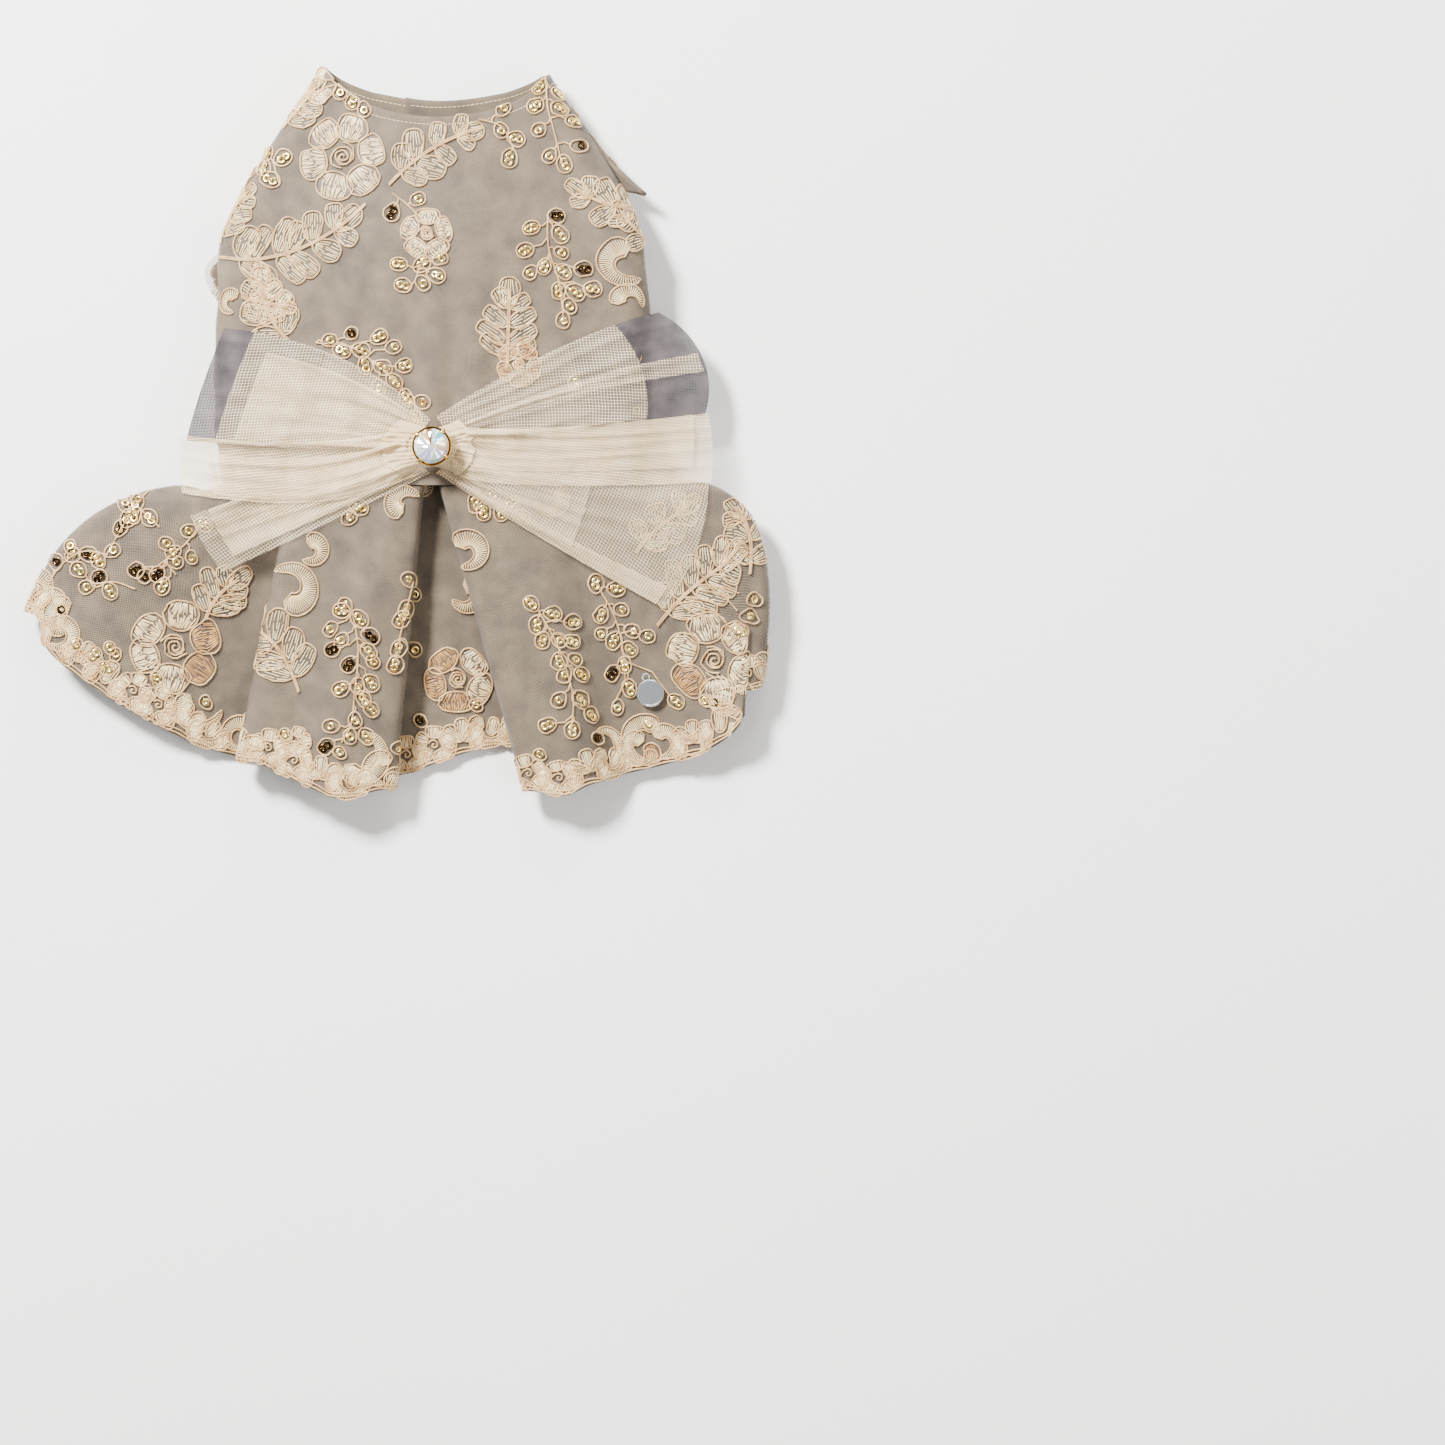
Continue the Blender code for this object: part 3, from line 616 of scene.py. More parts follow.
def weld(form: bmesh.types.BMesh, gap: float = 1e-6) -> None:
    """Joins corners that meet, and turns every face outwards."""
    bmesh.ops.remove_doubles(form, verts=form.verts, dist=gap)
    bmesh.ops.recalc_face_normals(form, faces=form.faces)


@dataclass
class Cloth:
    """A sheet of cloth as a fine grid of points, for making it and for laying work on it.

    Attributes:
        points: Its middle surface, indexed [column][row][xyz].
        outward: Which way its good side faces at its probe.
        probe: Shares of its columns and rows where that is known.
        fanned: Whether it is gathered, so that its threads run with its columns.
    """

    points: Array
    outward: tuple[float, float, float] = (0.0, 0.0, 1.0)
    probe: tuple[float, float] = (0.5, 0.5)
    fanned: bool = False

    @cached_property
    def steps(self) -> tuple[Array, Array]:
        """How far the surface moves for one column and for one row, at every point."""
        return np.gradient(self.points, axis=0), np.gradient(self.points, axis=1)

    @cached_property
    def normals(self) -> Array:
        """Unit normals on the good side."""
        across, along = self.steps
        normals = to_unit(np.cross(across, along), 1e-12)
        return normals if self.turned_right else -normals

    @cached_property
    def turned_right(self) -> bool:
        """Whether the grid's own normals already face outwards."""
        across, along = self.steps
        i = int(self.probe[0] * (self.points.shape[0] - 1))
        j = int(self.probe[1] * (self.points.shape[1] - 1))
        return float(np.dot(np.cross(across[i, j], along[i, j]), self.outward)) > 0

    @cached_property
    def flat_map(self) -> Array:
        """Each point's place on the flat cloth in metres, indexed [column][row][uv]."""
        across = np.linalg.norm(np.diff(self.points, axis=0), axis=2)
        along = np.linalg.norm(np.diff(self.points, axis=1), axis=2)
        if self.fanned:
            middle = int(across.shape[1] * 0.85)
            across = np.repeat(across[:, middle:middle + 1], across.shape[1], axis=1)
            along = np.repeat(along.mean(axis=0, keepdims=True), along.shape[0], axis=0)
        u = np.concatenate((np.zeros((1, across.shape[1])), np.cumsum(across, axis=0)))
        v = np.concatenate((np.zeros((along.shape[0], 1)), np.cumsum(along, axis=1)), axis=1)
        return np.stack((u - u[len(u) // 2], v), axis=2)

    @property
    def area(self) -> float:
        """The cloth's area in square metres."""
        across = np.diff(self.points, axis=0)[:, :-1]
        along = np.diff(self.points, axis=1)[:-1]
        return float(np.linalg.norm(np.cross(across, along), axis=2).sum())

    @property
    def cut(self) -> tuple[float, float]:
        """Width and length of the flat piece that the cloth was cut from."""
        across = np.linalg.norm(np.diff(self.points, axis=0), axis=2).sum(axis=0)
        along = np.linalg.norm(np.diff(self.points, axis=1), axis=2).sum(axis=1)
        return float(across.max()), float(along.max())

    @cached_property
    def tree(self) -> BVHTree:
        """What a ray hits of the cloth."""
        columns, rows = self.points.shape[:2]
        corners = [Vector(p) for p in self.points.reshape(-1, 3).tolist()]
        faces = [
            (i * rows + j, (i + 1) * rows + j, (i + 1) * rows + j + 1, i * rows + j + 1)
            for i in range(columns - 1) for j in range(rows - 1)
        ]
        return BVHTree.FromPolygons(corners, faces)

    def find(self, x: float, y: float) -> Array:
        """Finds a place on the cloth, from above.

        Args:
            x: The place's X.
            y: Its Y.

        Returns:
            The column and row of the topmost cloth there, or of the nearest cloth.
        """
        hit, _, face, _ = self.tree.ray_cast(Vector((x, y, 1.0)), Vector((0, 0, -1)))
        if hit is None:
            hit, _, face, _ = self.tree.find_nearest(Vector((x, y, 0.01)))
        i, j = divmod(face, self.points.shape[1] - 1)
        corner = self.points[i, j]
        sides = np.stack((self.points[i + 1, j] - corner, self.points[i, j + 1] - corner), axis=1)
        shares = np.linalg.lstsq(sides, np.array(hit) - corner, rcond=None)[0]
        return np.array((i + min(max(shares[0], 0), 1), j + min(max(shares[1], 0), 1)))

    def blended(self, grid: Array, spots: Array) -> Array:
        """A grid's values between its points, carried on a little past its edges.

        Args:
            grid: The values, indexed [column][row].
            spots: The (column, row) spots.

        Returns:
            A value for each spot.
        """
        columns, rows = grid.shape[0] - 1, grid.shape[1] - 1
        spots = np.clip(spots, (-0.2, -0.2), (columns + 0.2, rows + 0.2))
        i = np.clip(np.floor(spots[:, 0]).astype(int), 0, columns - 1)
        j = np.clip(np.floor(spots[:, 1]).astype(int), 0, rows - 1)
        s, t = (spots[:, 0] - i)[:, None], (spots[:, 1] - j)[:, None]
        near = grid[i, j] * (1 - s) + grid[i + 1, j] * s
        far = grid[i, j + 1] * (1 - s) + grid[i + 1, j + 1] * s
        return near * (1 - t) + far * t

    def raised(self, spots: Array, lift: Array | float) -> Array:
        """Points over the cloth.

        Args:
            spots: Their (column, row) spots.
            lift: How far they lie off it.

        Returns:
            The points.
        """
        normals = to_unit(self.blended(self.normals, spots))
        return self.blended(self.points, spots) + normals * np.reshape(lift, (-1, 1))

    def moved(self, spots: Array, offsets: Array) -> Array:
        """Moves spots over the cloth.

        Args:
            spots: The (column, row) spots.
            offsets: A flat offset for each, whose second part runs the way +Y does on the cloth.

        Returns:
            The moved spots.
        """
        across = self.blended(self.steps[0], spots)
        along = self.blended(self.steps[1], spots)
        normals = to_unit(self.blended(self.normals, spots))
        up = to_unit(np.array((0.0, 1.0, 0.0)) - normals * normals[:, 1:2])
        side = np.cross(up, normals)
        way = side * offsets[:, :1] + up * offsets[:, 1:]
        a, b, c = (across**2).sum(1), (across * along).sum(1), (along**2).sum(1)
        p, q = (across * way).sum(1), (along * way).sum(1)
        scale = np.maximum(a * c - b * b, 1e-16)
        return spots + np.stack(((c * p - b * q) / scale, (a * q - b * p) / scale), axis=1)

    def laid(self, centre: Array, offsets: Array) -> Array:
        """Lays flat offsets round a centre on the cloth, along its bend.

        Args:
            centre: The (column, row) spot of the centre.
            offsets: The flat offsets.

        Returns:
            The (column, row) spot of each.
        """
        start = np.repeat(centre[None], len(offsets), axis=0)
        halfway = self.moved(start, offsets / 2)
        return self.moved(halfway, offsets / 2)

    def sheet(
        self, name: str, finish: Finish, slot: str, lift: float, wall: float, *nodes: str
    ) -> bpy.types.Object:
        """Makes the cloth as a piece, from a grid that is moved to its place.

        Args:
            name: The piece's name.
            finish: Its finish.
            slot: The record's material slot.
            lift: How far it lies off the middle surface, towards the good side.
            wall: Its thickness, or 0 for a net, which is one layer.
            nodes: The CAD nodes that it stands for.

        Returns:
            The piece.
        """
        columns, rows = self.points.shape[0] - 1, self.points.shape[1] - 1
        form = bmesh.new()
        bmesh.ops.create_grid(form, x_segments=columns, y_segments=rows, size=1.0)
        layer = form.loops.layers.uv.new("cloth")
        places = self.points + self.normals * lift
        for vertex in form.verts:
            i = round((vertex.co.x + 1) / 2 * columns)
            j = round((vertex.co.y + 1) / 2 * rows)
            vertex.co = places[i, j]
            for loop in vertex.link_loops:
                loop[layer].uv = self.flat_map[i, j]
        if not self.turned_right:
            bmesh.ops.reverse_faces(form, faces=form.faces)
        made = piece(name, as_mesh(name, form), finish, slot, *nodes)
        if wall:
            solid = made.modifiers.new("wall", "SOLIDIFY")
            solid.thickness = wall
            solid.offset = 0.0
            solid.use_quality_normals = True
        return made


# Forms of the dress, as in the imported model

class Section(NamedTuple):
    """The bodice across one place: shares of its sizes."""

    along: float
    half_width: float
    height: float
    crown: float


@dataclass(frozen=True)
class BodiceForm:
    """The shape of the bodice and its straps."""

    waist_y: float = -0.0287
    length: float = 0.1463
    half_width: float = 0.0770
    height: float = 0.0230
    crown: float = 0.0050
    back_dip: float = 0.0172
    throat_dip: float = 0.0100
    lean: float = 0.0030
    armhole_cut: float = 0.0050
    band_low: float = -0.0206
    band_top: float = 0.0196
    throat_low: float = 0.0568
    throat_slant: float = 0.0240
    slant_from: float = -0.0070
    sections: tuple[Section, ...] = (
        Section(0.00, 0.970, 1.00, 1.00), Section(0.20, 1.000, 1.00, 1.00),
        Section(0.42, 1.000, 1.00, 1.00), Section(0.565, 0.985, 1.00, 0.95),
        Section(0.64, 0.930, 0.98, 0.90), Section(0.715, 0.860, 0.95, 0.80),
        Section(0.79, 0.775, 0.92, 0.75), Section(0.865, 0.685, 0.88, 0.70),
        Section(0.94, 0.585, 0.85, 0.65), Section(1.00, 0.520, 0.83, 0.60),
    )

    def across(self, along: float) -> tuple[float, float, float]:
        """The bodice's sizes at one place along it.

        Args:
            along: The share, 0 at the waist and 1 at the neck.

        Returns:
            Half the width of the flat back, the side fold's radius, and the crown.
        """
        keys = [row.along for row in self.sections]
        half = self.half_width * smooth_through(keys, [r.half_width for r in self.sections], along)
        tall = self.height * smooth_through(keys, [r.height for r in self.sections], along)
        crown = self.crown * smooth_through(keys, [r.crown for r in self.sections], along)
        radius = tall / 2 - LACE_OUT
        return half - LACE_OUT - radius, radius, crown

    def share(self, y: float) -> float:
        """Where a Y lies along the bodice."""
        return (y - self.waist_y) / self.length

    def neck(self, x: float, dip: float) -> float:
        """The neckline's place.

        Args:
            x: The X it is wanted at.
            dip: How far it dips in the middle.

        Returns:
            The share along the bodice.
        """
        flat, radius, _ = self.across(1.0)
        place = max(min(x / (flat + radius), 1.0), -1.0)
        lean = self.lean * (1 + place) / 2
        return 1 - (lean + dip * (1 - abs(place) ** 1.9)) / self.length

    def low_throat(self, x: float) -> float:
        """The throat straps' lower edge at an X."""
        share = (x - self.slant_from) / (self.half_width - self.slant_from)
        return self.throat_low + self.throat_slant * max(share, 0.0)

    def back_point(self, along: float, place: float) -> tuple[float, float, float]:
        """A point of the back.

        Args:
            along: The share along the bodice.
            place: 0 in the middle, 1 where the side fold starts and 2 at the side seam.

        Returns:
            Its X, Y and Z.
        """
        flat, radius, crown = self.across(along)
        side, share = math.copysign(1, place), abs(place)
        y = self.waist_y + along * self.length
        if share <= 1:
            z = LACE_OUT + 2 * radius + crown * (1 - share**2) ** 2
            return side * share * flat, y, z
        turn = (share - 1) * QUARTER
        reach = flat + radius * math.sin(turn)
        return side * reach, y, LACE_OUT + radius + radius * math.cos(turn)

    def strap_point(
        self, along: float, place: float, side: int, end_x: float, lift: float
    ) -> tuple[float, float, float]:
        """A point of a strap.

        Args:
            along: The share along the bodice.
            place: 0 at the side seam, 1 where the fold ends and 2 at the strap's end.
            side: Which side it starts from, -1 or 1.
            end_x: The X of its end.
            lift: How far it lies off the outermost layer.

        Returns:
            Its X, Y and Z.
        """
        flat, radius, _ = self.across(along)
        y = self.waist_y + along * self.length
        if place <= 1:
            turn = QUARTER * (1 + place)
            x = side * (flat + radius * math.sin(turn))
            return x, y, LACE_OUT + radius + (radius - lift) * math.cos(turn)
        x = side * flat + (place - 1) * (end_x - side * flat)
        return x, y, LACE_OUT + lift

    def armhole(self, along: float, side: float) -> float:
        """How far the back's edge is cut up at the leg opening.

        Args:
            along: The share along the bodice.
            side: Which side, by its sign.

        Returns:
            The cut, as a share of the side fold.
        """
        low = self.share(self.band_top)
        top = self.share(self.low_throat(math.copysign(self.half_width, side)))
        t = (along - low) / (top - low)
        if not 0 < t < 1:
            return 0.0
        return self.armhole_cut / (self.across(along)[1] * QUARTER) * math.sin(math.pi * t) ** 2

    def ripple(self, x: float, y: float) -> float:
        """Soft hollows in the back, deepest where the bow gathers it.

        Args:
            x: The place's X.
            y: Its Y.

        Returns:
            How far the cloth is lifted there.
        """
        pull = math.exp(-(((x - 0.002) / 0.03) ** 2) - ((y + 0.02) / 0.055) ** 2)
        folds = 0.0009 * pull * math.cos(x * 420)
        drift = 0.0005 * noise.noise(Vector((x * 22, y * 15, 3.1)))
        return folds + drift - 0.0006 * pull

    def back(self, columns: int = 128, rows: int = 104) -> Cloth:
        """The back's cloth, from side seam to side seam and from the waist to the neck.

        Args:
            columns: Spans across.
            rows: Spans along.

        Returns:
            The cloth.
        """
        # The run of the flat half and of the side fold, in millimetres, which space the columns
        flat_run, side_run = 65.4, 14.8
        points = np.zeros((columns + 1, rows + 1, 3))
        for i, arc in enumerate(np.linspace(-1, 1, columns + 1).tolist()):
            run = abs(arc) * (flat_run + side_run)
            place = run / flat_run if run < flat_run else 1 + (run - flat_run) / side_run
            place = math.copysign(min(place, 2.0), arc)
            neck = self.neck(self.back_point(1.0, place)[0], self.back_dip)
            for j, v in enumerate(np.linspace(0, 1, rows + 1).tolist()):
                along = neck * v
                cut = self.armhole(along, place) * max(abs(place) - 1, 0)
                x, y, z = self.back_point(along, math.copysign(abs(place) - cut, place))
                edge = ease(min(v, 1 - v) * 12) * ease((2 - abs(place)) * 2)
                points[i, j] = x, y, z + self.ripple(x, y) * edge
        return Cloth(points)

    def strap(
        self, side: int, lift: float, end_x: Callable[[float], float],
        low_y: Callable[[float], float], neck_dip: float, corner: float,
    ) -> Cloth:
        """One strap on the belly side.

        Args:
            side: Which side seam it starts from, -1 or 1.
            lift: How far it lies off the outermost layer.
            end_x: The X of its end, by the share along the bodice.
            low_y: The Y of its lower edge, by X.
            neck_dip: How far its top edge dips, or 0 for the belly band's straight one.
            corner: How far its lower corner stands out at the side seam.

        Returns:
            The cloth.
        """
        columns, rows, fold_share = 64, 28, 0.2
        points = np.zeros((columns + 1, rows + 1, 3))
        for i, share in enumerate(np.linspace(0, 1, columns + 1).tolist()):
            past = share - fold_share
            place = share * 5 if past < 0 else 1 + past / (1 - fold_share)
            for j, v in enumerate(np.linspace(0, 1, rows + 1).tolist()):
                along = self.share(low_y(side * self.half_width))
                # The edges depend on X and X on the place along, so it is found in two rounds
                for _ in range(2):
                    x = self.strap_point(along, place, side, end_x(along), lift)[0]
                    low, top = self.share(low_y(x)), self.share(self.band_top)
                    if neck_dip:
                        top = self.neck(x, neck_dip)
                    along = low + v * (top - low)
                x, y, z = self.strap_point(along, place, side, end_x(along), lift)
                poke = corner * (1 - v) ** 4 * max(1 - place, 0.0)
                points[i, j] = x + side * poke, y - poke * 0.4, z
        return Cloth(points, (0.0, 0.0, -1.0), (0.8, 0.5))


class Fold(NamedTuple):
    """One line of the skirt from the waist to the hem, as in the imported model.

    Attributes:
        waist: Its place along the waist seam, from -1 to 1.
        drop: How many folded layers it lies under the top one at the waist.
        hem_x: The X of its end at the hem, as a share of the skirt's reach.
        hem_y: How far that lies from the waist, as a share of the skirt's length.
        layer: How many layers high it lies there.
        flare_x: How far its middle swings across, as a share of the reach.
        flare_y: How far it swings along, as a share of the length.
        turn: 1 or -1 where the cloth turns back round a fold's edge after it, else 0.
    """

    waist: float
    drop: float
    hem_x: float
    hem_y: float
    layer: float
    flare_x: float
    flare_y: float
    turn: int


@dataclass(frozen=True)
class SkirtForm:
    """The shape of the pleated skirt."""

    bodice: BodiceForm
    reach: float = 0.1400
    length: float = 0.1080
    tuck: float = 0.0004
    folds: tuple[Fold, ...] = (
        Fold(-1.00, 0.0, -0.800, 0.540, 0.0, -0.02, 0.06, 0),
        Fold(-0.96, 0.0, -0.955, 0.395, 0.0, -0.05, 0.08, -1),
        Fold(-0.90, 0.0, -0.995, 0.405, 1.6, -0.07, 0.12, 0),
        Fold(-0.85, 0.0, -0.965, 0.510, 2.0, -0.03, 0.10, 0),
        Fold(-0.77, 0.0, -0.840, 0.650, 1.8, 0.00, 0.06, 0),
        Fold(-0.70, 1.0, -0.690, 0.768, 1.2, 0.00, 0.03, 0),
        Fold(-0.645, 2.0, -0.560, 0.845, 0.1, 0.00, 0.00, 0),
        Fold(-0.50, 2.0, -0.421, 0.880, 0.0, 0.00, 0.00, 1),
        Fold(-0.50, 1.0, -0.421, 0.880, 1.0, 0.00, 0.00, 0),
        Fold(-0.58, 1.0, -0.464, 0.885, 1.0, 0.00, 0.00, -1),
        Fold(-0.58, 0.0, -0.464, 0.885, 2.0, 0.00, 0.00, 0),
        Fold(-0.42, 0.0, -0.336, 0.950, 2.2, 0.00, 0.00, 0),
        Fold(-0.25, 0.0, -0.230, 1.005, 2.3, 0.00, 0.00, 0),
        Fold(-0.08, 0.0, -0.121, 0.975, 2.0, 0.00, 0.00, 1),
        Fold(-0.08, 1.0, -0.121, 0.975, 1.0, 0.00, 0.00, 0),
        Fold(-0.33, 1.0, -0.171, 0.950, 1.0, 0.00, 0.00, -1),
        Fold(-0.33, 2.0, -0.171, 0.938, 0.0, 0.00, 0.00, 0),
        Fold(-0.14, 2.0, -0.071, 0.925, -0.15, 0.00, 0.00, 0),
        Fold(0.03, 2.0, 0.050, 0.868, -0.15, 0.00, 0.00, 0),
        Fold(0.18, 2.0, 0.164, 0.833, -0.15, 0.00, 0.00, 0),
        Fold(0.33, 2.0, 0.286, 0.855, 0.0, 0.00, 0.00, 1),
        Fold(0.33, 1.0, 0.286, 0.855, 1.0, 0.00, 0.00, 0),
        Fold(0.08, 1.0, 0.250, 0.975, 1.0, 0.00, 0.00, -1),
        Fold(0.08, 0.0, 0.250, 0.980, 2.0, 0.00, 0.00, 0),
        Fold(0.25, 0.0, 0.329, 0.995, 2.25, 0.00, 0.00, 0),
        Fold(0.40, 0.0, 0.386, 0.962, 2.1, 0.00, 0.00, 0),
        Fold(0.50, 0.0, 0.421, 0.948, 1.3, 0.00, 0.00, 0),
        Fold(0.58, 0.0, 0.464, 0.929, 0.3, 0.00, 0.00, 0),
        Fold(0.67, 0.0, 0.571, 0.896, 0.2, 0.02, 0.02, 0),
        Fold(0.76, 0.0, 0.680, 0.850, 1.1, 0.05, 0.06, 0),
        Fold(0.84, 0.0, 0.765, 0.760, 2.0, 0.09, 0.14, 0),
        Fold(0.90, 0.0, 0.785, 0.650, 1.8, 0.12, 0.22, 1),
        Fold(0.96, 0.0, 0.765, 0.600, 0.0, 0.12, 0.20, 0),
        Fold(1.00, 0.0, 0.640, 0.540, 0.0, 0.08, 0.14, 0),
    )

    def waist_place(self, share: float) -> float:
        """Place across the waist seam of a share along it."""
        flat, radius, _ = self.bodice.across(0.0)
        arc = abs(share) * (flat + QUARTER * radius)
        place = arc / flat if arc <= flat else 1 + (arc - flat) / (QUARTER * radius)
        return math.copysign(min(place, 2.0), share)

    def line_point(self, fold: Fold, v: float) -> Vector:
        """A point on a fold's line.

        Args:
            fold: The fold.
            v: Where on it, from the waist at 0 to the hem at 1.

        Returns:
            The point.
        """
        x, y, z = self.bodice.back_point(0.0, self.waist_place(fold.waist))
        waist = Vector((x, y - 0.0003 + fold.drop * self.tuck, z - fold.drop * FOLD_PITCH))
        hem = Vector((
            fold.hem_x * self.reach,
            self.bodice.waist_y - fold.hem_y * self.length,
            LACE_OUT + fold.layer * FOLD_PITCH,
        ))
        swing_x = 4 * v * (1 - v) * fold.flare_x * self.reach
        swing_y = 4 * v * (1 - v) * ease(v / 0.2) * fold.flare_y * self.length
        return waist.lerp(hem, v) + Vector((swing_x, swing_y, 0.0))

    def ripple(self, x: Array, y: Array) -> Array:
        """Soft folds that fan out from the waist.

        Args:
            x: The places' X.
            y: Their Y.

        Returns:
            How far the cloth is lifted there.
        """
        down = np.maximum(self.bodice.waist_y - y, 0.0)
        fan = np.arctan2(x, down + 0.05)
        soft = 0.5 + 0.5 * np.sin(fan * 17 + 1.6 * np.sin(fan * 5 + 0.8))
        return 0.0013 * soft**2 * np.minimum(down / 0.04, 1.0)

    def cloth(self, columns: int = 420, rows: int = 60, turn_steps: int = 6) -> Cloth:
        """The skirt's cloth, from its left edge to its right and from the waist to the hem.

        Args:
            columns: Spans across.
            rows: Spans from the waist to the hem.
            turn_steps: Spans round a fold's edge.

        Returns:
            The cloth.
        """
        places = np.linspace(0, 1, rows + 1).tolist()
        lines = []
        for fold, after in zip(self.folds, self.folds[1:] + (None,)):
            lines.append([self.line_point(fold, v) for v in places])
            if not fold.turn:
                continue
            for k in range(1, turn_steps):
                angle = math.pi * k / turn_steps
                line = []
                for v in places:
                    start, end = self.line_point(fold, v), self.line_point(after, v)
                    bulge = fold.turn * abs(end.z - start.z) / 2 * math.sin(angle)
                    between = start.lerp(end, (1 - math.cos(angle)) / 2)
                    line.append(between + Vector((bulge, 0, 0)))
                lines.append(line)
        drawn = np.array([[tuple(point) for point in line] for line in lines])
        points = curve_through(drawn, columns)
        points[:, :, 2] += self.ripple(points[:, :, 0], points[:, :, 1])
        return Cloth(points, (0.0, 0.0, 1.0), (0.36, 0.6), True)


# Embroidery

def turned(shape: Array, angle: float, at: Sequence[float]) -> Array:
    """Flat points turned and moved.

    Args:
        shape: The points.
        angle: The angle.
        at: How far they are moved.

    Returns:
        The points in their new place.
    """
    cos, sin = math.cos(angle), math.sin(angle)
    return shape @ np.array(((cos, sin), (-sin, cos))) + np.asarray(at)


class Rounding(NamedTuple):
    """How round a petal is at its tip and at its root, rounder for less."""

    tip: float
    root: float


BLOOM = Rounding(0.38, 0.46)
LOBE = Rounding(0.32, 0.5)
LEAF_END = Rounding(0.34, 0.5)
BUD = Rounding(0.45, 0.55)
BORDER_FOOT = Rounding(0.34, 0.42)
BORDER_FAN = Rounding(0.34, 0.6)


def petal_width(share: Array | float, ends: Rounding) -> Array | float:
    """Half width of a petal along its length.

    Args:
        share: Where along it, 0 to 1.
        ends: How round it is.

    Returns:
        The half width, where 1 is its widest.
    """
    tip, root = ends
    wide = np.power(np.maximum(share, 0), root) * np.power(np.maximum(1 - share, 0), tip)
    peak = root / (root + tip)
    return wide / (peak**root * (1 - peak) ** tip)


class Flower(NamedTuple):
    """A flower, in pixels and degrees: its middle, reach, petals, turn and tan petals."""

    x: float
    y: float
    reach: float
    petals: int
    turn: float
    tan: tuple[int, ...] = ()


class Leaf(NamedTuple):
    """A fern leaf, in pixels: the ends of its vein, its width, lobes a side and bend."""

    x: float
    y: float
    tip_x: float
    tip_y: float
    width: float
    lobes: int
    bend: float


class Scroll(NamedTuple):
    """A satin scroll, in pixels and degrees: its middle, radius, width, start and sweep."""

    x: float
    y: float
    radius: float
    width: float
    start: float
    sweep: float


class Sprig(NamedTuple):
    """A stem with a sequin in each of its buds, in pixels. A third value of 1 is a dark sequin, a
    painted dark reflection.
    """

    stem: tuple[tuple[float, float], ...]
    buds: tuple[tuple[float, ...], ...]


